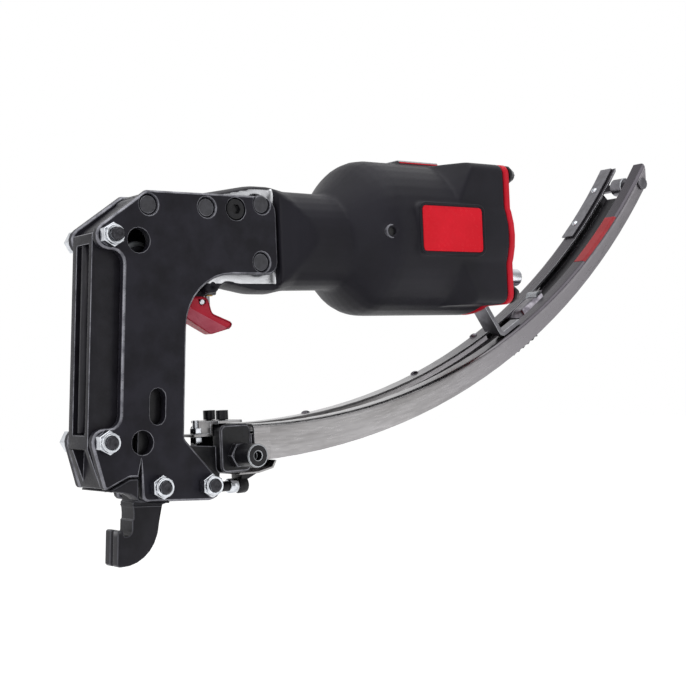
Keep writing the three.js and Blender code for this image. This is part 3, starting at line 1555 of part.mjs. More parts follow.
/** The block that carries the magazine behind the plates, with the tunnel that the clips come through. */
function mountBlock() {
  const b = BLOCK;
  const wide = rounded([
    [b.frontX, b.bottomZ, b.corner],
    [b.rearX, b.bottomZ, b.corner],
    [b.rearX, b.topZ, b.corner],
    [b.frontX, b.topZ, b.corner],
  ]);
  const tongue = rounded([
    leant(b.tongueA, b.tongueTopH),
    leant(b.tongueRearA, b.tongueTopH),
    leant(b.tongueRearA, PLATE.toeTopH - PLATE.toeCorner),
    [b.frontX + OVERRUN, b.tongueShelfZ],
    [b.frontX + OVERRUN, b.bottomZ + OVERRUN],
    leant(b.toeRearA, PLATE.toeSlantH - GAP * 2),
    leant(b.toeRearA, b.toeBottomH, b.corner),
    leant(b.toeFrontA, b.toeBottomH, b.edge),
    leant(b.toeFrontA, b.tongueBottomH),
    leant(b.tongueA, b.tongueBottomH),
  ]);
  const inner = box(b.rearX - GAP, b.innerRearX, -b.innerHalf, b.innerFarHalf, b.innerBottomZ, b.innerTopZ);
  const body = join(
    slabY(wide, -b.half, b.half, PLATE.bevel),
    slabY(tongue, -b.tongueHalf, b.tongueHalf),
    inner,
  );
  const frontX = leant(b.tongueA, b.tongueBottomH)[0] - OVERRUN * 4;
  const half = b.tunnelHalf;
  const tunnel = box(frontX, b.innerRearX + OVERRUN, -half, half, b.tunnelBottomZ, b.tunnelTopZ);
  const bolt = leant(BOLT_PLACES.toe.a, BOLT_PLACES.toe.h).slice(0, 2);
  const screws = [-1, 1].map((side) =>
    barZ(BLOCK_SCREW.x, side * BLOCK_SCREW.y, BLOCK_SCREW.radius + FIT, b.topZ - BLOCK_SCREW.grip, b.topZ + OVERRUN),
  );
  const latch = barY(LATCH.x, LATCH.z, LATCH.stem + FIT, -b.half - OVERRUN, -b.half + LATCH.deep);
  return cut(
    body,
    tunnel,
    slabY(circle(...bolt, BOLT.radius + FIT), -b.half - OVERRUN, b.half + OVERRUN),
    latch,
    ...screws,
  );
}

function blockScrew(side) {
  const s = BLOCK_SCREW;
  const y = side * s.y;
  const seat = STRIP.z + STRIP.thick / 2 + GAP;
  const shank = barZ(s.x, y, s.radius, BLOCK.topZ - s.grip + GAP, seat + GAP);
  const head = barZ(s.x, y, s.head, seat, seat + s.headHigh);
  const socket = slabZ(hexagon(s.x, y, s.socket), seat + s.headHigh - s.socketDeep, seat + s.headHigh + OVERRUN);
  return cut(join(shank, head), socket);
}

/** The sheet strip under the screw heads; its ear is bent down before the block and carries the trimming screw. */
function clampStrip() {
  const s = STRIP;
  const low = s.z - s.thick / 2;
  const high = s.z + s.thick / 2;
  const wideFront = BLOCK.frontX;
  const bendX = wideFront - GAP;
  const earNear = -s.earHalf - TRIM_SCREW.nut;
  const sheet = rounded([
    [bendX - s.thick, earNear],
    [wideFront, earNear],
    [wideFront, -s.half, s.edge],
    [s.rearX, -s.half, s.tailCorner],
    [s.rearX, s.half, s.tailCorner],
    [wideFront, s.half, s.edge],
    [wideFront, s.earHalf],
    [bendX - s.thick, s.earHalf],
  ]);
  const ear = rounded([
    [s.frontX, earNear, s.earCorner],
    [bendX, earNear],
    [bendX, s.earHalf],
    [s.frontX, s.earHalf, s.earCorner],
  ]);
  const earLow = s.earZ - s.thick / 2;
  const earHigh = s.earZ + s.thick / 2;
  const holes = [-1, 1].map((side) =>
    barZ(BLOCK_SCREW.x, side * BLOCK_SCREW.y, BLOCK_SCREW.radius + FIT, low - OVERRUN, high + OVERRUN),
  );
  const small = barZ(s.rearX - s.half / 3, 0, s.hole, low - OVERRUN, high + OVERRUN);
  const trim = barZ(TRIM_SCREW.x, TRIM_SCREW.y, TRIM_SCREW.radius + FIT, earLow - OVERRUN, earHigh + OVERRUN);
  const upright = box(bendX - s.thick, bendX, earNear, s.earHalf, earLow, high);
  const body = join(slabZ(sheet, low, high), slabZ(ear, earLow, earHigh), upright);
  return cut(body, ...holes, small, trim);
}

/** The pull sleeve that unlatches the magazine, on its hexagon. */
function latchBase() {
  const l = LATCH;
  const face = -BLOCK.half - GAP;
  const hex = slabY(hexagon(l.x, l.z, l.hexRadius), face - l.hexHigh, face, GAP);
  return cut(hex, barY(l.x, l.z, l.stem + FIT, face - l.hexHigh - OVERRUN, face + OVERRUN));
}

function latchPlunger() {
  const l = LATCH;
  const seat = -BLOCK.half - GAP - l.hexHigh - GAP;
  const end = -BLOCK.half + l.deep - GAP;
  const sleeve = barY(l.x, l.z, l.sleeveRadius, -l.reach, seat, GAP);
  const stem = barY(l.x, l.z, l.stem, seat - GAP, end - l.endPlay);
  const hollow = barY(l.x, l.z, l.bore, -l.reach - OVERRUN, -l.reach + l.hexHigh);
  return cut(join(sleeve, stem), hollow);
}

function trimScrew() {
  const t = TRIM_SCREW;
  const high = STRIP.earZ + STRIP.thick / 2 + GAP;
  const low = STRIP.earZ - STRIP.thick / 2 - GAP;
  return join(
    barZ(t.x, t.y, t.radius, t.bottomZ, t.topZ),
    slabZ(hexagon(t.x, t.y, t.nut), high, high + t.nutHigh),
    slabZ(hexagon(t.x, t.y, t.nut), low - t.nutHigh, low),
  );
}

/** The strap from the cap down to the magazine, bent to lie on the near rail beside the pusher's way. */
function supportBracket() {
  const b = BRACKET;
  const middle = capRearX() + b.standOff + b.thick / 2;
  const capBottomZ = FLANGE.z - FLANGE.half;
  const lift = -GAP - b.thick / 2;
  const foot = arcPoint(arcAngle(b.footX), lift);
  const footEnd = arcPoint(arcAngle(b.footEndX), lift - FIT);
  const line = [[middle, capBottomZ + b.grip], [middle, capBottomZ - b.knee], foot, footEnd];
  const outline = rounded(sheetCorners(line, b.thick, b.bend));
  const way = arcBand(capRearX(), b.footEndX + OVERRUN, PUSHER.top - PUSHER.play * 2, OVERRUN);
  return cut(slabY(outline, b.near, b.far), slabY(way, -PUSHER.half - GAP * 2, b.far + OVERRUN));
}

// Assembly.

const root = new THREE.Group();
root.name = "pneumatic_clinch_clip_tool";

function node(name, paint, geometry) {
  const material = new THREE.MeshStandardMaterial(PAINT[paint]);
  material.name = name + "_" + paint;
  const mesh = new THREE.Mesh(geometryOf(solid(geometry)), material);
  mesh.name = name;
  root.add(mesh);
}

node("housing", "cast", housing());
node("end_cap", "red", endCap());
capScrewPlaces().forEach((place, i) => node("cap_screw_" + (i + 1), "black", capScrew(place)));
node("air_inlet", "zinc", airInlet());
node("badge_plate", "badge", badgePlate());
node("top_label", "white", topLabel());
node("piston", "aluminium", piston());
node("piston_seal", "rubber", pistonSeal());
node("piston_rod", "ground", pistonRod());
node("bumper", "rubber", bumper());

node("side_plate_left", "oxide", sidePlate(-1));
node("side_plate_right", "oxide", sidePlate(1));
node("front_guide", "guide", frontGuide());
node("top_block", "oxide", topBlock());
node("anvil_hook", "oxide", anvilHook());
Object.entries(BOLT_PLACES).forEach(([name, place]) => {
  node("frame_bolt_" + name, "zinc", frameBolt(place));
  node("lock_nut_" + name, "zinc", lockNut(place));
});
Object.entries(DOWEL_PLACES).forEach(([name, place]) => node("dowel_pin_" + name, "zinc", dowelPin(place)));
node("frame_screw", "black", frameScrew());

node("bell_crank", "ground", bellCrank());
node("crank_pin", "ground", barY(CRANK.x, CRANK.z, CRANK.pin, -CRANK_PIN.reach, CRANK_PIN.reach, GAP));
node("nose_roller", "ground", roller(CRANK.noseX, CRANK.noseZ, CRANK.noseRoller));
node("rod_roller", "ground", roller(CRANK.rodX, CRANK.rodZ, CRANK.rodRoller));
node("nose_roller_pin", "black", barY(CRANK.noseX, CRANK.noseZ, CRANK.rollerPin, -CRANK.half, CRANK.half));
node("rod_roller_pin", "black", barY(CRANK.rodX, CRANK.rodZ, CRANK.rollerPin, -CRANK.half, CRANK.half));
node("driver", "ground", driver());
node("driver_spring", "springSteel", driverSpring());

node("trigger", "redPlastic", trigger());
node("trigger_pin", "zinc", triggerPin());
node("valve_body", "brass", valveBody());
node("valve_stem", "ground", valveStem());
node("valve_spring", "springSteel", valveSpring());

node("mount_block", "black", mountBlock());
node("block_screw_left", "black", blockScrew(-1));
node("block_screw_right", "black", blockScrew(1));
node("clamp_strip", "stainless", clampStrip());
node("latch_base", "zinc", latchBase());
node("latch_plunger", "aluminium", latchPlunger());
node("trim_screw", "zinc", trimScrew());
node("magazine_rail_left", "stainless", magazineRail(-1));
node("magazine_rail_right", "stainless", magazineRail(1));
node("clip_rail", "darkRail", clipRail());
node("pusher", "black", pusher());
node("pusher_spring", "springSteel", pusherSpring());
node("end_pin", "zinc", endPin());
node("end_roller", "aluminium", endRoller());
node("end_cover", "stainless", endCover());
node("support_bracket", "stainless", supportBracket());

export default root;
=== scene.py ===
"""Finishes, small pieces, studio and camera of a pneumatic clinch clip tool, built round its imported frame."""
import json
import logging
import math
from collections.abc import Callable, Sequence
from dataclasses import dataclass, field
from enum import Enum

import bmesh
import bpy
from mathutils import Matrix, Vector

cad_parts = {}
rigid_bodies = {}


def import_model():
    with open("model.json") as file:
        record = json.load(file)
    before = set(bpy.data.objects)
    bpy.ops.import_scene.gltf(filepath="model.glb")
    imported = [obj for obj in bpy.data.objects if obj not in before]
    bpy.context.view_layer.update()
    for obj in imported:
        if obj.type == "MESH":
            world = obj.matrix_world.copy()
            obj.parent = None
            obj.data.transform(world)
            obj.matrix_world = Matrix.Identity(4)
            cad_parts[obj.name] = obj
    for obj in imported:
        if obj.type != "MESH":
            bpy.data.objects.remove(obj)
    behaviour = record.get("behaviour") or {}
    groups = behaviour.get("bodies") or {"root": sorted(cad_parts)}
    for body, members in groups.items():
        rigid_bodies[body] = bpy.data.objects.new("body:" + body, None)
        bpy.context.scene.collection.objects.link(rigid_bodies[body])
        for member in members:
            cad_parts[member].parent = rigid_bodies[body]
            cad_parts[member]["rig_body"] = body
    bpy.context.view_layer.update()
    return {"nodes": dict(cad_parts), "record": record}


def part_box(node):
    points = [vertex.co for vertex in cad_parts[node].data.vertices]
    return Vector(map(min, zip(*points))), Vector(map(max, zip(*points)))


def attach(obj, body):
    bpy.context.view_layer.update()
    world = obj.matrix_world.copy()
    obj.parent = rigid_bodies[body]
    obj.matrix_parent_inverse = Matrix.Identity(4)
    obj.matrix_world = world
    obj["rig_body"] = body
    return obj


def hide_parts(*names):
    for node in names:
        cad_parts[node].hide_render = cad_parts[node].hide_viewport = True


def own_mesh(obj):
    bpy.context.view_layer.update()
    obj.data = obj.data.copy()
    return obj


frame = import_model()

LOG = logging.getLogger("clip_tool")
MM = 0.001
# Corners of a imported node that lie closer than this, in metres, are one corner.
WELD = 0.002 * MM
# Where a cutter ends, in millimetres: in the open, outside the solid that it cuts.
FAR = 70.0
# The body that carries all that stands still.
TOOL = "tool_body"
# The magazine's arc along the top of its flanges, in millimetres.
ARC_CENTRE = (-15.0, 0.0, 256.5)
ARC_RADIUS = 346.5
# The values between which most of a broad and of a fine noise lies.
BROAD_NOISE = (0.35, 0.65)
FINE_NOISE = (0.3, 0.7)
# A plate's face belongs to the bevel round its outline if the Y of its normal lies between these.
BEVEL_LEAN = (0.2, 0.95)

Colour = tuple[float, float, float, float]
Point = tuple[float, float, float]
Triple = tuple[float, float, float]
Outline = Sequence[tuple[float, float]]
Chooser = Callable[[Vector, Vector], bool]
Mover = Callable[[Vector], Vector]


def linear(hex_code: str) -> Colour:
    """Turns an sRGB hex colour to linear light, by the curve of that standard.

    Args:
        hex_code: Six hex digits.

    Returns:
        Red, green, blue and alpha from 0 to 1.
    """
    parts = [int(hex_code[i:i + 2], 16) / 255 for i in (0, 2, 4)]
    parts = [c / 12.92 if c <= 0.04045 else ((c + 0.055) / 1.055) ** 2.4 for c in parts]
    return (*parts, 1.0)


def add(tree: bpy.types.NodeTree, kind: str, settings: dict | None = None,
        inputs: dict | None = None) -> bpy.types.Node:
    """Adds one node, sets its properties, and fills or links its inputs.

    Args:
        tree: The node tree that gets the node.
        kind: The node's type name.
        settings: Property names and values.
        inputs: Input names or numbers, each with a value or with the output that feeds it.

    Returns:
        The new node.
    """
    node = tree.nodes.new(kind)
    for name, value in (settings or {}).items():
        setattr(node, name, value)
    for key, value in (inputs or {}).items():
        if isinstance(value, bpy.types.NodeSocket):
            tree.links.new(value, node.inputs[key])
        else:
            node.inputs[key].default_value = value
    return node


class Grain(Enum):
    """How a surface was made, which sets the way its fine pattern runs."""

    EVEN = "even"
    ALONG_ARC = "along_arc"
    ALONG_X = "along_x"


@dataclass(frozen=True)
class Finish:
    """A real surface: its two close colours, its gloss, and the pattern that its making left.

    Roughness swings by rough_swing both ways. Blotch, grain and relief are the sizes of the broad pattern, the fine
    pattern and its depth. Fade is a colour that takes over between two places along X, and rub one that takes over
    within its reach of a spot. All lengths are in millimetres.
    """

    name: str
    colour: str
    second: str
    metallic: float
    roughness: float
    rough_swing: float = 0.08
    blotch: float = 12.0
    grain: float = 0.8
    relief: float = 0.03
    strength: float = 0.3
    ior: float = 1.5
    specular: float = 0.5
    run: Grain = Grain.EVEN
    stretch: float = 30.0
    fade: str = ""
    fade_from: float = 0.0
    fade_to: float = 1.0
    pale_spot: str = ""
    pale_spot_at: Point = (0.0, 0.0, 0.0)
    pale_spot_reach: float = 1.0

    def pattern_space(self, tree: bpy.types.NodeTree) -> bpy.types.NodeSocket:
        """Gives the coordinates, in millimetres, in which the grain is laid out.

        Args:
            tree: The material's node tree.

        Returns:
            A vector output, pressed along the way that the grain runs.
        """
        place = add(tree, "ShaderNodeTexCoord").outputs["Object"]
        scaled = add(tree, "ShaderNodeVectorMath", {"operation": "SCALE"}, {0: place, "Scale": 1 / MM}).outputs[0]
        if self.run is Grain.EVEN:
            return scaled
        if self.run is Grain.ALONG_X:
            return add(tree, "ShaderNodeVectorMath", {"operation": "MULTIPLY"},
                       {0: scaled, 1: (1 / self.stretch, 1, 1)}).outputs[0]
        moved = add(tree, "ShaderNodeVectorMath", {"operation": "SUBTRACT"}, {0: scaled, 1: ARC_CENTRE}).outputs[0]
        x, y, z = add(tree, "ShaderNodeSeparateXYZ", None, {0: moved}).outputs
        flat = add(tree, "ShaderNodeCombineXYZ", None, {0: x, 1: z}).outputs[0]
        radius = add(tree, "ShaderNodeVectorMath", {"operation": "LENGTH"}, {0: flat}).outputs["Value"]
        angle = add(tree, "ShaderNodeMath", {"operation": "ARCTAN2"}, {0: x, 1: z}).outputs[0]
        turn = add(tree, "ShaderNodeMath", {"operation": "MULTIPLY"}, {0: angle, 1: self.stretch}).outputs[0]
        return add(tree, "ShaderNodeCombineXYZ", None, {0: radius, 1: y, 2: turn}).outputs[0]

    def changes(self, tree: bpy.types.NodeTree, colour: bpy.types.NodeSocket,
                cloud: bpy.types.NodeSocket) -> bpy.types.NodeSocket:
        """Lays the slow change along X, which paints shade on the magazine's sheet, and the pale spot over the colour,
        where the finish has them.

        Args:
            tree: The material's node tree.
            colour: The colour so far.
            cloud: Noise that breaks up the pale spot.

        Returns:
            The colour with both laid over it.
        """
        place = add(tree, "ShaderNodeTexCoord").outputs["Object"]
        if self.fade:
            along = add(tree, "ShaderNodeSeparateXYZ", None, {0: place}).outputs[0]
            share = add(tree, "ShaderNodeMapRange", {"interpolation_type": "SMOOTHSTEP"},
                        {0: along, 1: self.fade_from * MM, 2: self.fade_to * MM}).outputs[0]
            colour = add(tree, "ShaderNodeMix", {"data_type": "RGBA"},
                         {0: share, 6: colour, 7: linear(self.fade)}).outputs[2]
        if self.pale_spot:
            middle = tuple(v * MM for v in self.pale_spot_at)
            away = add(tree, "ShaderNodeVectorMath", {"operation": "DISTANCE"}, {0: place, 1: middle}).outputs["Value"]
            near = add(tree, "ShaderNodeMapRange", {"interpolation_type": "SMOOTHSTEP"},
                       {0: away, 1: self.pale_spot_reach * MM, 2: self.pale_spot_reach * MM / 3}).outputs[0]
            broken = add(tree, "ShaderNodeMath", {"operation": "MULTIPLY", "use_clamp": True},
                         {0: near, 1: cloud}).outputs[0]
            colour = add(tree, "ShaderNodeMix", {"data_type": "RGBA"},
                         {0: broken, 6: colour, 7: linear(self.pale_spot)}).outputs[2]
        return colour

    def make(self) -> bpy.types.Material:
        """Builds the material once and returns it.

        Returns:
            The material named for this finish.
        """
        known = bpy.data.materials.get(self.name)
        if known:
            return known
        material = bpy.data.materials.new(self.name)
        material.use_nodes = True
        tree = material.node_tree
        tree.nodes.clear()
        space = self.pattern_space(tree)
        broad = add(tree, "ShaderNodeTexNoise", None,
                    {"Vector": space, "Scale": 1 / self.blotch, "Detail": 3.0}).outputs[0]
        fine = add(tree, "ShaderNodeTexNoise", None,
                   {"Vector": space, "Scale": 1 / self.grain, "Detail": 2.0}).outputs[0]
        spread = add(tree, "ShaderNodeMapRange", None, {0: broad, 1: BROAD_NOISE[0], 2: BROAD_NOISE[1]}).outputs[0]
        colour = add(tree, "ShaderNodeMix", {"data_type": "RGBA"},
                     {0: spread, 6: linear(self.colour), 7: linear(self.second)}).outputs[2]
        rough = add(tree, "ShaderNodeMapRange", None, {
            0: fine, 1: FINE_NOISE[0], 2: FINE_NOISE[1],
            3: self.roughness - self.rough_swing, 4: self.roughness + self.rough_swing}).outputs[0]
        bump = add(tree, "ShaderNodeBump", None,
                   {"Height": fine, "Distance": self.relief * MM, "Strength": self.strength}).outputs[0]
        shader = add(tree, "ShaderNodeBsdfPrincipled", None, {
            "Base Color": self.changes(tree, colour, broad), "Metallic": self.metallic, "Roughness": rough,
            "Normal": bump})
        if not self.metallic:
            shader.inputs["IOR"].default_value = self.ior
            shader.inputs["Specular IOR Level"].default_value = self.specular
        add(tree, "ShaderNodeOutputMaterial", None, {"Surface": shader.outputs[0]})
        return material


# The numbers after the two colours are metallic, roughness and its swing, blotch, grain, relief and bump strength.
# Brush, cutter, grinding and drawing lines are drawn coarser than real, at 0.25 to 0.45 mm instead of less than 0.1,
# so that they show at the camera's distance.
# Aluminium casting under matt black powder coat: deep, even, and finely pebbled where light grazes it. The pebbles are
# drawn coarser than real, so that they show.
POWDER_COAT = Finish("powder_coated_casting", "1f1e24", "26252c", 0.0, 0.46, 0.06, 30.0, 0.7, 0.05, 0.35,
                     specular=0.14)
# Laser-cut steel plate with hot black oxide: near black, faintly clouded, with a satin sheen.
BLACK_OXIDE = Finish("black_oxide_plate", "1f1e24", "2b2a32", 0.0, 0.4, 0.08, 11.0, 0.9, 0.03, 0.4, specular=0.13)
# The same oxide rubbed thin along an edge, where the grey steel starts to show, and lightened further to paint the
# highlight along the bevels.
EDGE_WEAR_AND_HIGHLIGHT = Finish("oxide_edge_wear_and_highlight", "54545b", "85858c", 0.5, 0.32, 0.08, 5.0, 0.8, 0.02, 0.3)
# Cast iron under thin black lacquer: duller than the plates and a little coarser.
BLACK_CASTING = Finish("black_lacquered_casting", "1b1a1f", "25242a", 0.0, 0.42, 0.08, 8.0, 0.9, 0.06, 0.5,
                       specular=0.2)
# Forged anvil, oiled black, with a near-white spot at the throat, broken up by noise.
BLACK_FORGING = Finish("oiled_black_forging", "1d1c21", "28272d", 0.0, 0.38, 0.08, 9.0, 0.9, 0.05, 0.45,
                       specular=0.16, pale_spot="cfced2", pale_spot_at=(-91.8, -3.0, -131.3), pale_spot_reach=5.5)
# The forging's edges, where handling has worn the black a little greyer.
WORN_FORGING = Finish("worn_forging_edge", "303036", "42424a", 0.2, 0.34, 0.08, 4.0, 0.8, 0.03, 0.3, specular=0.3)
# Screws and mount block in black oxide: smooth and dark with small sharp highlights.
BLACK_SCREW = Finish("black_oxide_screw", "131316", "1c1c20", 0.0, 0.32, 0.06, 3.0, 0.4, 0.01, 0.3, specular=0.25)
# Pins pressed in and blacked with the plates, their ends ground: dark grey and matt.
BLACK_PIN = Finish("blacked_dowel_end", "37373b", "45454a", 0.4, 0.45, 0.08, 2.5, 0.4, 0.02, 0.4)
# Machined cap under red enamel: full colour with a soft gloss.
RED_ENAMEL = Finish("red_enamel_cap", "d81029", "e01a33", 0.0, 0.34, 0.05, 14.0, 1.2, 0.02, 0.2, specular=0.2)
# Moulded red polyamide: deep colour, smooth, with a broad highlight.
RED_MOULDING = Finish("moulded_red_polyamide", "bd1a33", "c9233d", 0.0, 0.38, 0.05, 10.0, 0.7, 0.02, 0.25,
                      ior=1.53, specular=0.22)
# The trigger's faces that lean to either side and downwards: a paler red.
RED_PALE_LOW_SIDES = Finish("paler_polyamide_low_sides", "c84e62", "d26274", 0.0, 0.42, 0.05, 6.0, 0.7, 0.02, 0.25,
                    ior=1.53, specular=0.3)
# Polycarbonate plate: a flat even red with a glossy face.
RED_PLATE = Finish("bare_red_plate", "f20c27", "fa132d", 0.0, 0.26, 0.03, 16.0, 2.0, 0.005, 0.1,
                   ior=1.58, specular=0.1)
# Foil on the magazine's flange: a duller red.
RED_FOIL = Finish("bare_red_foil", "9c1b24", "a8242d", 0.0, 0.36, 0.04, 9.0, 1.0, 0.01, 0.15, specular=0.2)
# White foil on the top pad.
WHITE_PLATE = Finish("bare_white_plate", "d6d6da", "e0e0e3", 0.0, 0.4, 0.04, 20.0, 2.0, 0.005, 0.1)
# Bright zinc on steel: bluish, almost mirror-like, with soft cloudy patches.
BRIGHT_ZINC = Finish("bright_zinc_plate", "b2b5ba", "cdd0d5", 1.0, 0.17, 0.05, 2.4, 0.6, 0.006, 0.25)
# Polished chrome of the air plug: the brightest metal here, with crisp reflections.
CHROME = Finish("polished_chrome_plug", "c9cbd2", "d9dbe0", 1.0, 0.12, 0.04, 3.0, 0.5, 0.005, 0.2)
# Dark steel of the bolt ends: oiled, unplated where the thread was cut.
DARK_STEEL = Finish("oiled_dark_steel", "2d2d31", "3d3d42", 0.7, 0.36, 0.08, 1.5, 0.35, 0.02, 0.4)
# Ground and hardened steel: even grey with fine lines.
GROUND_STEEL = Finish("ground_steel", "a3a5a8", "b3b5b8", 1.0, 0.28, 0.07, 6.0, 0.25, 0.01, 0.4)
# Driver and crank in the dark between the plates: hardened, oiled, nearly black.
OILED_STEEL = Finish("oiled_hardened_steel", "333338", "434348", 0.8, 0.4, 0.08, 6.0, 0.4, 0.02, 0.4)
# Stainless sheet brushed along the magazine: warm light grey, streaked along the curve, coarser than real.
# Towards the rear its colour fades to an even, slightly darker grey: painted shade.
BRUSHED_SHEET = Finish("brushed_stainless_sheet", "8b8989", "a2a0a1", 1.0, 0.36, 0.1, 5.0, 0.45, 0.012, 0.4,
                       run=Grain.ALONG_ARC, fade="8b888c", fade_from=60.0, fade_to=170.0)
# The flanges' tops: the same sheet, painted lighter than the walls and fading to painted shade towards the rear.
SHEET_PAINTED_LIGHT_SHADE = Finish("stainless_tops_painted_light_shade", "a4a3a4", "b3b2b3", 1.0, 0.3, 0.08, 4.0, 0.45, 0.01, 0.35,
                      run=Grain.ALONG_ARC, fade="4b484d", fade_from=40.0, fade_to=165.0)
# Stainless sheet of the small strip and cradle, with the mill's satin face.
SATIN_SHEET = Finish("satin_stainless_sheet", "8b898a", "9d9c9c", 1.0, 0.34, 0.09, 5.0, 0.3, 0.012, 0.4,
                     run=Grain.ALONG_X, stretch=12.0)
# A bright strip laid along the far rail's rolled inner lip: a painted highlight for the line of light along that edge.
LIP_PAINTED_HIGHLIGHT = Finish("painted_highlight_lip_finish", "c4c3c6", "d8d7da", 1.0, 0.24, 0.06, 3.0, 0.4, 0.01, 0.3)
# Bracket, end cover, pin and roller: the same steel, dulled to a mid grey.
DULL_SHEET = Finish("dull_bracket_sheet", "68676b", "79787d", 1.0, 0.36, 0.08, 4.0, 0.4, 0.012, 0.4)
# Hardened clip rail, blued dark by heat, with faint streaks along the curve.
DARK_RAIL = Finish("blued_clip_rail", "1b1a1e", "2b2a2e", 0.7, 0.34, 0.1, 4.0, 0.4, 0.012, 0.4,
                   run=Grain.ALONG_ARC)
# Spring steel of the pusher, polished by use: dark with sharp bright streaks.
POLISHED_SPRING = Finish("polished_spring_steel", "4d4a50", "77747a", 1.0, 0.2, 0.07, 3.0, 0.4, 0.02, 0.3)
# Milled aluminium: pale, with fine cutter lines.
MILLED_ALUMINIUM = Finish("milled_aluminium", "b2b3b6", "c6c7ca", 1.0, 0.32, 0.08, 5.0, 0.3, 0.015, 0.4,
                          run=Grain.ALONG_X, stretch=10.0)
# Turned brass of the valve: warm yellow, with a clean lathe-cut shine.
TURNED_BRASS = Finish("turned_brass", "b08a3e", "c09a4c", 1.0, 0.28, 0.06, 3.0, 0.3, 0.01, 0.3)
# Black nitrile of seal and bumper: dull, without a highlight. It also colours the black disc of painted shade that
# stands for the port's bore.
NITRILE = Finish("black_nitrile", "18181a", "1f1f21", 0.0, 0.62, 0.06, 5.0, 0.6, 0.03, 0.4, ior=1.52)
# Drawn spring wire: bright, with a thin line of light along each turn.
SPRING_WIRE = Finish("drawn_spring_wire", "8a8d91", "9b9ea2", 1.0, 0.28, 0.06, 2.0, 0.3, 0.01, 0.3)


def slot_of(node: str) -> str:
    """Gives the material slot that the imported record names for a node."""
    return next(row["material_slot"] for row in frame["record"]["subparts"] if row["node"] == node)


def body_of(node: str) -> str:
    """Gives the name of the body that carries a node."""
    return frame["nodes"][node]["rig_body"]


def span(node: str) -> tuple[Vector, Vector]:
    """Gives a node's lowest and highest corners at rest, in millimetres."""
    low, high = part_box(node)
    return Vector(low) / MM, Vector(high) / MM


def written(name: str, shape: bmesh.types.BMesh) -> bpy.types.Mesh:
    """Writes a shape into a new mesh and frees it.

    Args:
        name: The mesh's name.
        shape: The shape, in metres.

    Returns:
        The new mesh.
    """
    mesh = bpy.data.meshes.new(name)
    shape.to_mesh(mesh)
    shape.free()
    return mesh


def placed(name: str, data: bpy.types.ID) -> bpy.types.Object:
    """Puts a mesh, a lamp or a camera into the scene as a new object.

    Args:
        name: The object's name.
        data: The mesh, lamp or camera.

    Returns:
        The new object.
    """
    thing = bpy.data.objects.new(name, data)
    bpy.context.scene.collection.objects.link(thing)
    return thing


def link(name: str, mesh: bpy.types.Mesh, *finishes: Finish) -> bpy.types.Object:
    """Puts a mesh into the scene with its finishes.

    Args:
        name: The new object's name.
        mesh: Its mesh, whose faces already have their finishes' numbers.
        finishes: Its finishes in order of slot.

    Returns:
        The new object.
    """
    piece = placed(name, mesh)
    numbers = [face.material_index for face in mesh.polygons]
    mesh.materials.clear()
    for finish in finishes:
        mesh.materials.append(finish.make())
    mesh.polygons.foreach_set("material_index", [min(number, len(finishes) - 1) for number in numbers])
    return piece


def paint(node: str, finish: Finish) -> None:
    """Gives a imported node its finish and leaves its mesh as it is.

    Args:
        node: The node's name.
        finish: The finish that it gets.
    """
    slots = frame["nodes"][node].data.materials
    if slots:
        slots[0] = finish.make()
    else:
        slots.append(finish.make())


def wind(node: str, finish: Finish) -> None:
    """Makes a copy of a packed spring, which stands for the node.

    Args:
        node: The spring's name.
        finish: Its material.
    """
    mesh = frame["nodes"][node].data.copy()
    mesh.name = f"{node}_coil"
    piece = link(mesh.name, mesh, finish)
    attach(piece, body_of(node))
    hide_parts(node)
    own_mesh(piece)
    LOG.info("%s stands for %s", piece.name, node)


@dataclass(frozen=True)
class Patch:
    """Faces of a piece that have a finish of their own."""

    finish: Finish
    covers: Chooser


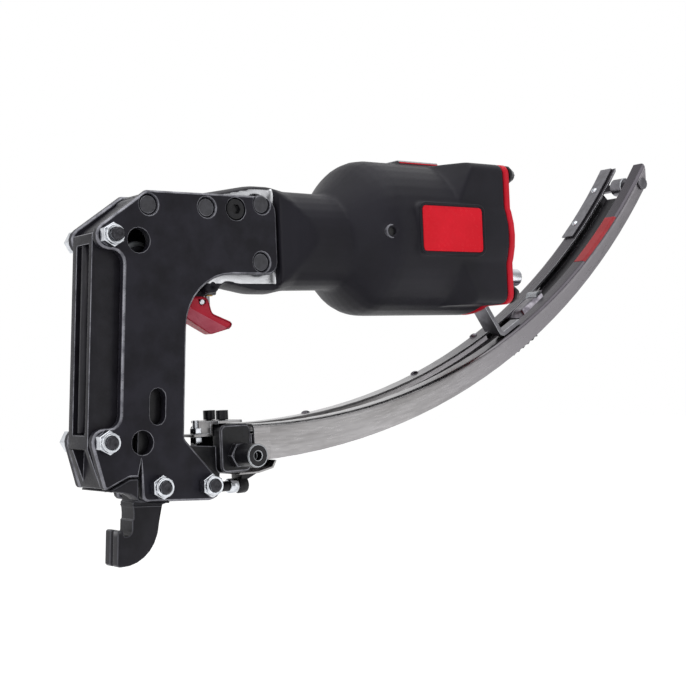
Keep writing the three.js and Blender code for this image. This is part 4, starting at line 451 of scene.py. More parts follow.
@dataclass(frozen=True)
class Skin:
    """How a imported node's copy is finished.

    Edges that turn by more than sharp, in degrees, are broken to a width in millimetres and take the edge's finish.
    Before that, moved gives corners new places, carve names cutters, melt is the voxel, in millimetres, of a
    casting's smooth skin, calm and calm_rounds say how far and how often that skin is evened, scores are planes that
    part a patch from the rest, and flat joins faces that lie level.
    """

    finish: Finish
    edge: Finish
    width: float = 0.25
    sharp: float = 38.0
    steps: int = 2
    flat: bool = True
    patches: tuple[Patch, ...] = ()
    carve: tuple[str, ...] = ()
    melt: float = 0.0
    calm: float = 0.5
    calm_rounds: int = 6
    scores: tuple[tuple[Point, Point], ...] = ()
    moved: Mover | None = None

    def shape(self, node: str) -> bpy.types.Mesh:
        """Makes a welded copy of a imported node's mesh, with the finish's number on each face.

        Args:
            node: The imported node's name.

        Returns:
            The new mesh.
        """
        level_within, first_patch = 0.6, 2
        mesh = frame["nodes"][node].data.copy()
        mesh.name = f"{node}_skin"
        shape = bmesh.new()
        shape.from_mesh(mesh)
        bmesh.ops.remove_doubles(shape, verts=shape.verts, dist=WELD)
        if self.moved:
            for corner in shape.verts:
                corner.co = self.moved(corner.co / MM) * MM
        if self.carve or self.melt:
            bmesh.ops.recalc_face_normals(shape, faces=shape.faces)
            shape.to_mesh(mesh)
            shape.clear()
            shape.from_mesh(self.reshape(mesh))
        for place, normal in self.scores:
            whole = [*shape.verts, *shape.edges, *shape.faces]
            bmesh.ops.bisect_plane(shape, geom=whole, plane_co=Vector(place) * MM, plane_no=normal)
        if self.flat:
            bmesh.ops.dissolve_limit(shape, angle_limit=math.radians(level_within), verts=shape.verts,
                                     edges=shape.edges)
        shape.normal_update()
        for face in shape.faces:
            face.smooth = True
            face.material_index = 0
            middle = face.calc_center_median() / MM
            for i, patch in enumerate(self.patches):
                if patch.covers(middle, face.normal):
                    face.material_index = first_patch + i
        shape.to_mesh(mesh)
        shape.free()
        for layer in list(mesh.attributes):
            if layer.name in ("custom_normal", "sharp_face", "sharp_edge"):
                mesh.attributes.remove(layer)
        return mesh

    def reshape(self, mesh: bpy.types.Mesh) -> bpy.types.Mesh:
        """Cuts the skin's cutters from a mesh and melts its facets to a smooth casting, where it asks for that.

        Args:
            mesh: The welded mesh.

        Returns:
            The new mesh.
        """
        holder = placed("reshape_holder", mesh)
        tools = []
        for name in self.carve:
            tool = placed(name, bpy.data.meshes[name])
            tools.append(tool)
            step = holder.modifiers.new(name, "BOOLEAN")
            step.operation = "DIFFERENCE"
            step.solver = "EXACT"
            step.use_hole_tolerant = True
            step.object = tool
        if self.melt:
            melted = holder.modifiers.new("melt", "REMESH")
            melted.mode = "VOXEL"
            melted.voxel_size = self.melt * MM
            calm = holder.modifiers.new("calm", "SMOOTH")
            calm.factor = self.calm
            calm.iterations = self.calm_rounds
        ready = holder.evaluated_get(bpy.context.evaluated_depsgraph_get())
        made = bpy.data.meshes.new_from_object(ready)
        for tool in (*tools, holder):
            bpy.data.objects.remove(tool)
        return made

    def put_on(self, node: str) -> bpy.types.Object:
        """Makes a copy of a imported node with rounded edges, which stands for the node.

        Args:
            node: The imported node's name.

        Returns:
            The finished piece, riding on the node's body.
        """
        extra = [patch.finish for patch in self.patches]
        piece = link(f"{node}_skin", self.shape(node), self.finish, self.edge, *extra)
        if not self.melt:
            self.break_edges(piece)
        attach(piece, body_of(node))
        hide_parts(node)
        LOG.info("%s stands for %s", piece.name, node)
        return piece

    def break_edges(self, piece: bpy.types.Object) -> None:
        """Rounds a piece's sharp edges and evens the shading beside them.

        Args:
            piece: The piece that gets the modifiers.
        """
        round_off = piece.modifiers.new("broken_edges", "BEVEL")
        round_off.width = self.width * MM
        round_off.segments = self.steps
        round_off.limit_method = "ANGLE"
        round_off.angle_limit = math.radians(self.sharp)
        round_off.use_clamp_overlap = False
        round_off.material = 1 if self.edge is not self.finish else -1
        round_off.miter_outer = "MITER_ARC"
        split = piece.modifiers.new("even_faces", "TRIANGULATE")
        split.ngon_method = "BEAUTY"
        split.min_vertices = 5
        even = piece.modifiers.new("even_shading", "WEIGHTED_NORMAL")
        even.mode = "FACE_AREA_WITH_ANGLE"
        even.weight = 80


def leaning_edge(middle: Vector, normal: Vector) -> bool:
    """Tells whether a plate's face is part of the bevel round its outline."""
    return BEVEL_LEAN[0] < abs(normal.y) < BEVEL_LEAN[1]


# The plates' bevels round their outline take the grey edge finish: edge wear and a painted highlight.
PLATE_SKIN = Skin(BLACK_OXIDE, EDGE_WEAR_AND_HIGHLIGHT, 0.25, patches=(Patch(EDGE_WEAR_AND_HIGHLIGHT, leaning_edge),), carve=("toe_round",))
CASTING_SKIN = Skin(BLACK_CASTING, EDGE_WEAR_AND_HIGHLIGHT, 0.3)
SCREW_SKIN = Skin(BLACK_SCREW, BLACK_SCREW, 0.15)
ZINC_SKIN = Skin(BRIGHT_ZINC, BRIGHT_ZINC, 0.15)
STEEL_SKIN = Skin(GROUND_STEEL, GROUND_STEEL, 0.2)
OILED_SKIN = Skin(OILED_STEEL, OILED_STEEL, 0.2)


def keep(name: str, mesh: bpy.types.Mesh, body: str, finish: Finish) -> bpy.types.Object:
    """Turns a mesh into a piece of the object.

    Args:
        name: The piece's name.
        mesh: Its mesh, in metres, in the object's frame.
        body: The body that it rides on.
        finish: Its finish.

    Returns:
        The new piece.
    """
    piece = link(name, mesh, finish)
    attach(piece, body)
    LOG.info("%s rides on %s", name, body)
    return piece


def keep_on(node: str, mesh: bpy.types.Mesh, finish: Finish) -> bpy.types.Object:
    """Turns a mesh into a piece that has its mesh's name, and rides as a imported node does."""
    return keep(mesh.name, mesh, body_of(node), finish)


def arc_point(x: float, depth: float) -> tuple[float, float]:
    """Gives a point below the magazine's top, square to its arc.

    Args:
        x: The place along X at the top.
        depth: How far below the top the point is.

    Returns:
        The point's X and Z.
    """
    angle = math.asin((x - ARC_CENTRE[0]) / ARC_RADIUS)
    radius = ARC_RADIUS + depth
    return ARC_CENTRE[0] + radius * math.sin(angle), ARC_CENTRE[2] - radius * math.cos(angle)


def prism(name: str, outline: Outline, start: float, end: float, soften: float = 0.0,
          upright: bool = False) -> bpy.types.Mesh:
    """Makes a closed slab from an outline in X and Z, or in X and Y if upright, with its edges broken.

    Args:
        name: The mesh's name.
        outline: Corners in millimetres.
        start: Where it starts along its third axis.
        end: Where it ends there.
        soften: Width of the broken edges.
        upright: Whether the slab runs along Z instead of Y.

    Returns:
        The mesh, in metres.
    """
    sharp_from, strip_share = math.radians(30), 30
    shape = bmesh.new()
    places = [(x, v, start) if upright else (x, start, v) for x, v in outline]
    ring = [shape.verts.new(tuple(c * MM for c in place)) for place in places]
    face = shape.faces.new(ring)
    moved = bmesh.ops.extrude_face_region(shape, geom=[face])["geom"]
    ends = [part for part in moved if isinstance(part, bmesh.types.BMVert)]
    long = (end - start) * MM
    bmesh.ops.translate(shape, verts=ends, vec=(0, 0, long) if upright else (0, long, 0))
    bmesh.ops.recalc_face_normals(shape, faces=shape.faces)
    sharp = [edge for edge in shape.edges if edge.calc_face_angle(0) > sharp_from]
    if soften:
        bmesh.ops.bevel(shape, geom=sharp, offset=soften * MM, segments=2, affect="EDGES", profile=0.5)
    for part in shape.faces:
        part.smooth = len(part.verts) == 4 and part.calc_area() < (soften * strip_share * MM) ** 2
    return written(name, shape)


def loft(name: str, rings: Sequence[Sequence[Point]], looped: bool = False, smooth: bool = True) -> bpy.types.Mesh:
    """Joins rings of points to a closed shell.

    Args:
        name: The mesh's name.
        rings: Rings with the same number of points, in millimetres.
        looped: Whether the last ring joins the first. Otherwise both ends are closed by a face.
        smooth: Whether the sides are shaded as one smooth surface.

    Returns:
        The mesh, in metres.
    """
    shape = bmesh.new()
    rows = [[shape.verts.new(tuple(c * MM for c in point)) for point in ring] for ring in rings]
    for one, two in zip(rows, rows[1:] + (rows[:1] if looped else [])):
        for i in range(len(one)):
            j = (i + 1) % len(one)
            shape.faces.new((one[i], one[j], two[j], two[i])).smooth = smooth
    if not looped:
        shape.faces.new(rows[0])
        shape.faces.new(rows[-1])
    bmesh.ops.recalc_face_normals(shape, faces=shape.faces)
    return written(name, shape)


def turned(name: str, profile: Outline, at: Point, steps: int = 40, across: bool = False) -> bpy.types.Mesh:
    """Turns a profile round a line along X, or along Y if across.

    Args:
        name: The mesh's name.
        profile: Pairs of place along the line and radius, in millimetres, from end to end.
        at: A point on the line.
        steps: How many faces go round.
        across: Whether the line runs along Y.

    Returns:
        The mesh, in metres, closed at both ends.
    """
    rings = []
    for along, radius in profile:
        ring = []
        for i in range(steps):
            turn = 2 * math.pi * i / steps
            one, two = radius * math.cos(turn), radius * math.sin(turn)
            ring.append((at[0] + one, along, at[2] + two) if across else (along, at[1] + one, at[2] + two))
        rings.append(ring)
    return loft(name, rings)


@dataclass
class Repeat:
    """A geometry tree that sets one shape on many spots, and its named inputs."""

    name: str
    tree: bpy.types.NodeTree = field(init=False)
    spots: bpy.types.NodeSocket = field(init=False)
    finish: bpy.types.NodeSocket = field(init=False)

    def start(self, sizes: dict[str, str]) -> dict[str, bpy.types.NodeSocket]:
        """Opens the tree with its sockets.

        Args:
            sizes: Names of the inputs and their socket types.

        Returns:
            The outputs of the group's input node, by name.
        """
        self.tree = bpy.data.node_groups.new(self.name, "GeometryNodeTree")
        face = self.tree.interface
        face.new_socket("Spots", in_out="INPUT", socket_type="NodeSocketGeometry")
        for label, kind in sizes.items():
            face.new_socket(label, in_out="INPUT", socket_type=kind)
        face.new_socket("Finish", in_out="INPUT", socket_type="NodeSocketMaterial")
        face.new_socket("Result", in_out="OUTPUT", socket_type="NodeSocketGeometry")
        given = add(self.tree, "NodeGroupInput").outputs
        self.spots, self.finish = given["Spots"], given["Finish"]
        return {label: given[label] for label in sizes}

    def end(self, shape: bpy.types.NodeSocket, turn: bpy.types.NodeSocket) -> None:
        """Sets the shape on the spots, makes the copies real and gives them the finish.

        Args:
            shape: The output that gives the shape.
            turn: The output that gives each copy's rotation.
        """
        copies = add(self.tree, "GeometryNodeInstanceOnPoints", None,
                     {"Points": self.spots, "Instance": shape, "Rotation": turn}).outputs[0]
        real = add(self.tree, "GeometryNodeRealizeInstances", None, {"Geometry": copies}).outputs[0]
        done = add(self.tree, "GeometryNodeSetMaterial", None, {"Geometry": real, "Material": self.finish}).outputs[0]
        add(self.tree, "NodeGroupOutput", None, {0: done})

    def run(self, name: str, spots: Sequence[Point], sizes: dict[str, object], body: str, slot: str,
            finish: Finish) -> bpy.types.Object:
        """Runs the tree over a set of spots and keeps the result as a plain piece.

        Args:
            name: The piece's name.
            spots: Places in millimetres.
            sizes: Values of the tree's inputs, in metres or turns.
            body: The body that the piece rides on.
            slot: Not used.
            finish: The piece's finish.

        Returns:
            The new piece.
        """
        points = bpy.data.meshes.new(f"{name}_spots")
        points.from_pydata([tuple(v * MM for v in spot) for spot in spots], [], [])
        holder = placed(f"{name}_holder", points)
        live = holder.modifiers.new("repeat", "NODES")
        live.node_group = self.tree
        values = {**sizes, "Finish": finish.make()}
        for item in self.tree.interface.items_tree:
            if item.item_type == "SOCKET" and item.in_out == "INPUT" and item.name in values:
                live[item.identifier] = values[item.name]
        ready = holder.evaluated_get(bpy.context.evaluated_depsgraph_get())
        mesh = bpy.data.meshes.new_from_object(ready)
        mesh.name = name
        holder.modifiers.remove(live)
        bpy.data.objects.remove(holder)
        return keep(name, mesh, body, finish)


def thread_tree() -> Repeat:
    """Builds the tree that winds a screw thread, standing on each spot.

    Returns:
        The tree with inputs Radius, Height, Turns, Crest and Turn.
    """
    thread = Repeat("screw_thread")
    size = thread.start({"Radius": "NodeSocketFloat", "Height": "NodeSocketFloat", "Turns": "NodeSocketFloat",
                         "Crest": "NodeSocketFloat", "Turn": "NodeSocketVector"})
    helix = add(thread.tree, "GeometryNodeCurveSpiral", None, {
        "Resolution": 28, "Rotations": size["Turns"], "Start Radius": size["Radius"],
        "End Radius": size["Radius"], "Height": size["Height"]}).outputs[0]
    ridge = add(thread.tree, "GeometryNodeCurvePrimitiveCircle", {"mode": "RADIUS"},
                {"Resolution": 4, "Radius": size["Crest"]}).outputs[0]
    wound = add(thread.tree, "GeometryNodeCurveToMesh", None,
                {"Curve": helix, "Profile Curve": ridge, "Fill Caps": True}).outputs[0]
    thread.end(wound, size["Turn"])
    return thread


def head_tree() -> Repeat:
    """Builds the tree that sets a slotted round head on each spot of the magazine, facing its centre.

    Returns:
        The tree with inputs Radius, Height, Slot and Centre.
    """
    heads = Repeat("slotted_heads")
    size = heads.start({"Radius": "NodeSocketFloat", "Height": "NodeSocketFloat", "Slot": "NodeSocketFloat",
                        "Centre": "NodeSocketVector"})
    radius, height, tree = size["Radius"], size["Height"], heads.tree
    ball = add(tree, "GeometryNodeMeshUVSphere", None, {"Segments": 24, "Rings": 14, "Radius": 1.0}).outputs[0]
    spread = add(tree, "ShaderNodeCombineXYZ", None, {0: radius, 1: radius, 2: height}).outputs[0]
    dome = add(tree, "GeometryNodeTransform", None, {"Geometry": ball, "Scale": spread}).outputs[0]
    long = add(tree, "ShaderNodeMath", {"operation": "MULTIPLY"}, {0: radius, 1: 3.0}).outputs[0]
    blade = add(tree, "ShaderNodeCombineXYZ", None, {0: long, 1: size["Slot"], 2: height}).outputs[0]
    bar = add(tree, "GeometryNodeMeshCube", None, {"Size": blade}).outputs[0]
    lift = add(tree, "ShaderNodeCombineXYZ", None, {2: height}).outputs[0]
    raised = add(tree, "GeometryNodeTransform", None, {"Geometry": bar, "Translation": lift}).outputs[0]
    slotted = add(tree, "GeometryNodeMeshBoolean", {"operation": "DIFFERENCE"}, {0: dome, 1: raised}).outputs[0]
    place = add(tree, "GeometryNodeInputPosition").outputs[0]
    inward = add(tree, "ShaderNodeVectorMath", {"operation": "SUBTRACT"}, {0: size["Centre"], 1: place}).outputs[0]
    level = add(tree, "ShaderNodeVectorMath", {"operation": "MULTIPLY"}, {0: inward, 1: (1.0, 0.0, 1.0)}).outputs[0]
    turn = add(tree, "FunctionNodeAlignRotationToVector", {"axis": "Z"}, {"Vector": level}).outputs[0]
    heads.end(slotted, turn)
    return heads


@dataclass
class SubAssembly:
    """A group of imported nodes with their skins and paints."""

    skins: dict[str, Skin] = field(default_factory=dict)
    paints: dict[str, Finish] = field(default_factory=dict)

    def dress(self) -> None:
        """Gives each node of the group its skin or its finish."""
        for node, finish in self.paints.items():
            paint(node, finish)
        for node, skin in self.skins.items():
            paint(node, skin.finish)
            skin.put_on(node)


@dataclass
class PowerHead(SubAssembly):
    """Cylinder and neck, end cap, inlet and the bare plates."""

    pocket_deep: float = 9.45
    pocket_rear: float = -3.9
    flare: Outline = ((-5.0, 14.4), (-1.0, 17.6), (3.0, 20.4), (8.0, 22.9), (14.0, 24.8), (20.0, 26.0))
    melt: float = 0.95
    milled_from: float = 9.15
    milled_rear: float = -4.3
    milled_low: float = -23.6
    rim_corner: float = 3.2
    rim_gap: float = 1.1
    rim_bar: float = 0.75
    rim_rise: float = 0.6
    rim_sunk: float = 0.15
    rim_steps: int = 6
    rim_sides: int = 10
    head_deep: float = 4.3
    head_swell: float = 1.2
    head_rise: float = 1.2
    head_face: float = 1.0
    port: Point = (47.5, 0.0, 0.5)
    port_ring: Outline = ((-33.5, 3.6), (-37.0, 3.6), (-37.4, 3.4), (-37.5, 3.1), (-37.3, 2.8), (-36.0, 2.7))
    # The black disc of painted shade that stands for the port's dark bore.
    port_painted_shade_disc: Outline = ((-35.9, 2.6), (-36.2, 2.6))
    port_steps: int = 32
    turn_inset: float = 0.6
    turn_span: tuple[float, float] = (-1.05, -0.1)
    turn_white: tuple[float, float] = (0.1, 0.5)
    turn_red: tuple[float, float] = (0.5, 1.1)
    skins: dict[str, Skin] = field(init=False)
    paints: dict[str, Finish] = field(default_factory=lambda: {
        "piston": MILLED_ALUMINIUM, "piston_seal": NITRILE, "piston_rod": GROUND_STEEL, "bumper": NITRILE})

    def __post_init__(self) -> None:
        """Lists the skins, with the milled flats of the casting left bright."""
        scores = (((0, -self.milled_from, 0), (0, 1, 0)), ((0, self.milled_from, 0), (0, 1, 0)),
                  ((self.milled_rear, 0, 0), (1, 0, 0)), ((0, 0, self.milled_low), (0, 0, 1)))
        self.skins = {
            "housing": Skin(POWDER_COAT, POWDER_COAT, patches=(Patch(MILLED_ALUMINIUM, self.is_milled),), flat=False,
                            carve=("near_pocket", "far_pocket", "near_flare", "far_flare"), melt=self.melt,
                            scores=scores),
            "end_cap": Skin(RED_ENAMEL, RED_ENAMEL, 0.25, flat=False),
            **{screw: Skin(BLACK_SCREW, BLACK_SCREW, 0.5, moved=self.swell(screw))
               for screw in (f"cap_screw_{i}" for i in range(1, 5))},
            "air_inlet": Skin(CHROME, CHROME, 0.15),
            "badge_plate": Skin(RED_PLATE, RED_PLATE, 0.12),
            "top_label": Skin(WHITE_PLATE, WHITE_PLATE, 0.1),
        }

    def is_milled(self, middle: Vector, normal: Vector) -> bool:
        """Tells whether a face of the casting was milled flat to take the side plates."""
        return abs(middle.y) > self.milled_from and middle.x < self.milled_rear and middle.z > self.milled_low

    def cutters(self) -> None:
        """Makes the cutters that mill the pockets for the side plates and flare the neck behind them."""
        pocket = [(-FAR, -FAR), (self.pocket_rear, -FAR), (self.pocket_rear, FAR), (-FAR, FAR)]
        prism("near_pocket", pocket, -FAR, -self.pocket_deep)
        prism("far_pocket", pocket, self.pocket_deep, FAR)
        for name, side in (("near_flare", -1), ("far_flare", 1)):
            slope = [(x, side * y) for x, y in self.flare]
            open_end = [(self.flare[-1][0], side * FAR), (self.flare[0][0], side * FAR)]
            prism(name, slope + open_end, -FAR, FAR, upright=True)

    def badge_frame(self) -> None:
        """Adds the raised rim round the badge's pocket, as a rounded bar bent round four corners."""
        low, high = span("badge_plate")
        inset = self.rim_corner - self.rim_gap
        y, x0, x1, z0, z1 = low.y + self.rim_sunk, low.x + inset, high.x - inset, low.z + inset, high.z - inset
        rings = []
        for quarter, (x, z) in enumerate(((x1, z1), (x0, z1), (x0, z0), (x1, z0))):
            for i in range(self.rim_steps + 1):
                turn = math.radians(90 * (quarter + i / self.rim_steps))
                ring = []
                for j in range(self.rim_sides):
                    round_bar = 2 * math.pi * j / self.rim_sides
                    reach = self.rim_corner + self.rim_bar * math.cos(round_bar)
                    ring.append((x + reach * math.cos(turn), y + self.rim_rise * math.sin(round_bar),
                                 z + reach * math.sin(turn)))
                rings.append(ring)
        keep_on("housing", loft("badge_frame", rings, looped=True), POWDER_COAT)

    def swell(self, node: str) -> Mover:
        """Gives the change that makes a cap screw's head as bold as the photo shows it.

        Args:
            node: The screw's name.

        Returns:
            A function that gives a corner its new place, in millimetres.
        """
        low, high = span(node)
        middle = (low + high) / 2

        def change(corner: Vector) -> Vector:
            """Moves a corner of the head out from the screw's line, and its outer face back.

            Args:
                corner: A corner of the screw, in millimetres.

            Returns:
                Its new place.
            """
            if corner.x < high.x - self.head_deep:
                return corner
            out = (corner - middle) * Vector((0, 1, 1)) * (self.head_swell - 1)
            return corner + out + Vector((self.head_rise if corner.x > high.x - self.head_face else 0, 0, 0))

        return change

    def port_lining(self) -> None:
        """Adds the small eyelet that lines the port on the cylinder's side, with a black disc of painted shade for its
        dark bore.
        """
        for name, profile, finish in (("port_eyelet", self.port_ring, EDGE_WEAR_AND_HIGHLIGHT),
                                      ("port_painted_shade_disc", self.port_painted_shade_disc, NITRILE)):
            keep_on("housing", turned(name, profile, self.port, self.port_steps, True), finish)

    def label_turn(self) -> None:
        """Adds the top label's edges that turn down the pad's near side, first white and then red."""
        low, high = span("top_label")
        front, rear, top = low.x + self.turn_inset, high.x - self.turn_inset, low.z
        for name, (over, under), finish in (("label_turn_white", self.turn_white, WHITE_PLATE),
                                            ("label_turn_red", self.turn_red, RED_PLATE)):
            edge = [(front, top - under), (rear, top - under), (rear, top - over), (front, top - over)]
            mesh = prism(name, edge, low.y + self.turn_span[0], low.y + self.turn_span[1])
            keep_on("top_label", mesh, finish)

    def build(self) -> None:
        """Cuts and dresses the casting, and adds the badge's rim, the port and the label's turned edges."""
        self.cutters()
        self.dress()
        self.badge_frame()
        self.port_lining()
        self.label_turn()


@dataclass(frozen=True)
class Slab:
    """A slab's name, its outline and its two places along Y, in millimetres."""

    name: str
    outline: Outline
    start: float
    end: float


@dataclass
class PlateFrame(SubAssembly):
    """Side plates, front guide and top block with their bolts, nuts, pins and screw.

    The collars' outlines, the toe and the rib are given on the arm's own axes: along it, and up.
    """

    arm: tuple[float, float] = (-80.0, -5.0)
    lean: float = 0.066
    collars: tuple[Slab, ...] = (
        Slab("collar_sweep", ((-20.0, -111.4), (-11.2, -111.4), (-5.0, -112.0), (-1.3, -112.8), (0.6, -113.9),
                              (2.2, -115.2), (3.4, -116.5), (4.1, -117.8), (4.55, -119.5), (4.75, -121.5),
                              (4.78, -124.5), (-20.0, -124.5)), -16.0, 16.0),
        Slab("collar_far", ((-20.0, -111.5), (2.0, -111.5), (9.0, -116.3), (32.0, -116.3), (32.0, -124.0),
                            (-20.0, -124.0)), 6.1, 17.0),
        Slab("collar_near", ((-20.0, -114.0), (-4.0, -114.6), (4.0, -115.8), (8.0, -116.4), (32.0, -116.4),
                             (32.0, -124.0), (-20.0, -124.0)), -17.0, -6.1),
    )
    toe: tuple[float, float] = (38.1, -109.3)
    toe_radius: float = 6.9
    toe_half: float = 20.0
    rib_ends: tuple[float, float] = (-3.0, -86.0)
    rib_back: float = -17.8
    rib_radius: float = 2.6
    rib_steps: int = 14
    plate_face: float = 14.25
    tips: dict[str, float] = field(default_factory=lambda: {"upper": 2.6, "lower": 1.0, "heel": 0.8, "toe": 1.0})
    bolt_radius: float = 2.9
    thread_pitch: float = 0.9
    thread_crest: float = 0.3
    tip_steps: int = 32
    skins: dict[str, Skin] = field(init=False)

    def __post_init__(self) -> None:
        """Lists the skins; the bolts' threaded ends are darker than their heads."""
        bolt = Skin(BRIGHT_ZINC, BRIGHT_ZINC, 0.15, patches=(Patch(DARK_STEEL, self.is_tail),))
        pin = Skin(BLACK_PIN, EDGE_WEAR_AND_HIGHLIGHT, 0.12)
        self.skins = {
            "side_plate_left": PLATE_SKIN,
            "side_plate_right": PLATE_SKIN,
            "front_guide": CASTING_SKIN,
            "top_block": CASTING_SKIN,
            "anvil_hook": Skin(BLACK_FORGING, WORN_FORGING, 0.45, carve=tuple(slab.name for slab in self.collars)),
            "frame_screw": SCREW_SKIN,
            **{f"frame_bolt_{at}": bolt for at in ("upper", "lower", "heel", "toe")},
            **{f"lock_nut_{at}": ZINC_SKIN for at in ("upper", "lower", "heel", "toe")},
            **{f"dowel_pin_{at}": pin for at in ("front", "middle", "rear", "low")},
        }

    def is_tail(self, middle: Vector, normal: Vector) -> bool:
        """Tells whether a bolt's face lies outside the near plate."""
        return middle.y < -self.plate_face

    def on_arm(self, a: float, h: float) -> tuple[float, float]:
        """Turns a place on the arm's own axes to X and Z."""
        c, s = math.cos(self.lean), math.sin(self.lean)
        return self.arm[0] + a * c + h * s, self.arm[1] - a * s + h * c

    def cutters(self) -> None:
        """Makes the cutters that slim the anvil's collar and round the plates' toes."""
        for slab in self.collars:
            prism(slab.name, [self.on_arm(a, h) for a, h in slab.outline], slab.start, slab.end)
        (at, low), reach = self.toe, self.toe_radius
        turns = [math.radians(t) for t in range(-90, 11, 10)]
        arc = [(at + reach * math.cos(t), low + reach * math.sin(t)) for t in turns]
        outline = [self.on_arm(a, h) for a, h in (*arc, (FAR, low), (FAR, -2 * FAR), (at, -2 * FAR))]
        prism("toe_round", outline, -self.toe_half, self.toe_half)

    def guide_rib(self) -> None:
        """Adds the half-round rib that runs down the front guide's channel."""
        rings = []
        for h in self.rib_ends:
            ring = []
            for i in range(self.rib_steps + 1):
                turn = math.pi * i / self.rib_steps
                x, z = self.on_arm(self.rib_back - self.rib_radius * math.sin(turn), h)
                ring.append((x, self.rib_radius * math.cos(turn), z))
            rings.append(ring)
        mesh = loft("guide_rib", rings)
        # The last side closes the half round: it is the rib's flat back.
        mesh.polygons[self.rib_steps].use_smooth = False
        keep_on("front_guide", mesh, BLACK_CASTING)

    def threads(self) -> None:
        """Adds the bolt ends that stand out of the lock nuts, each with a centre mark and its thread."""
        tree = thread_tree()
        crest, core = self.thread_crest, self.bolt_radius - self.thread_crest
        for at, long in self.tips.items():
            bolt = f"frame_bolt_{at}"
            low, high = span(f"lock_nut_{at}")
            middle = (low + high) / 2
            end = span(bolt)[0].y
            tip = end - long
            profile = [(end + crest, core), (tip + crest, core), (tip, core - crest), (tip, core / 2),
                       (tip + crest, core / 3)]
            keep_on(bolt, turned(f"bolt_tip_{at}", profile, tuple(middle), self.tip_steps, True), DARK_STEEL)
            height = long - crest
            tree.run(f"bolt_thread_{at}", [(middle.x, end, middle.z)], {
                "Radius": core * MM, "Height": height * MM, "Turns": height / self.thread_pitch,
                "Crest": crest * MM, "Turn": (math.pi / 2, 0.0, 0.0)}, body_of(bolt), slot_of(bolt), DARK_STEEL)

    def build(self) -> None:
        """Slims the anvil, dresses the group, and adds the rib and the bolt ends."""
        self.cutters()
        self.dress()
        self.guide_rib()
        self.threads()


@dataclass
class Works(SubAssembly):
    """Bell crank, rollers, driver and return spring inside the plates."""

    skins: dict[str, Skin] = field(default_factory=lambda: {
        "bell_crank": OILED_SKIN, "nose_roller": STEEL_SKIN, "rod_roller": STEEL_SKIN, "driver": OILED_SKIN})
    paints: dict[str, Finish] = field(default_factory=lambda: {
        "crank_pin": GROUND_STEEL, "nose_roller_pin": BLACK_SCREW, "rod_roller_pin": BLACK_SCREW})
    spring_line: Point = (0.066, 0.0, 0.998)
    driver_travel: float = 29.45

    def build(self) -> None:
        """Dresses the group and winds the spring that the driver presses down."""
        self.dress()
        wind("driver_spring", SPRING_WIRE)


@dataclass
class TriggerGroup(SubAssembly):
    """Trigger with its pin, and the valve that it lifts.

    A paler face's normal has less X than the first of the three lean values, more Y to either side than the second, and
    less Z than the third.
    """

    front: tuple[float, float] = (-45.0, -35.0)
    front_lift: float = 0.6
    belly: tuple[float, float] = (-44.0, -37.0)
    belly_top: float = -44.0
    belly_back: float = 3.0
    pale_lean: Triple = (0.2, 0.4, -0.2)
    spring_line: Point = (0.0, 0.0, 1.0)
    valve_travel: float = 1.6
    skins: dict[str, Skin] = field(init=False)
    paints: dict[str, Finish] = field(default_factory=lambda: {
        "trigger_pin": BRIGHT_ZINC, "valve_body": TURNED_BRASS, "valve_stem": GROUND_STEEL})

    def __post_init__(self) -> None:
        """Lists the skin, with the faces that lean sideways and downwards in a paler red."""
        self.skins = {"trigger": Skin(RED_MOULDING, RED_MOULDING, 0.8, sharp=25.0, steps=3, moved=self.ease,
                                      patches=(Patch(RED_PALE_LOW_SIDES, self.leans_down_sideways),))}

    def ease(self, corner: Vector) -> Vector:
        """Lifts the trigger's front corner and draws its belly back, as the photo shows them.

        Args:
            corner: A corner of the trigger, in millimetres.

        Returns:
            Its new place.
        """
        if corner.x < self.front[0] and corner.z < self.front[1]:
            return corner + Vector((0, 0, self.front_lift))
        if self.belly[0] < corner.x < self.belly[1] and corner.z < self.belly_top:
            return corner + Vector((self.belly_back, 0, 0))
        return corner

    def leans_down_sideways(self, middle: Vector, normal: Vector) -> bool:
        """Tells whether a face leans to either side and downwards; these faces are a paler red."""
        rear, side, up = self.pale_lean
        return normal.x < rear and abs(normal.y) > side and normal.z < up

    def build(self) -> None:
        """Dresses the group and winds the spring over the valve's stem."""
        self.dress()
        wind("valve_spring", SPRING_WIRE)


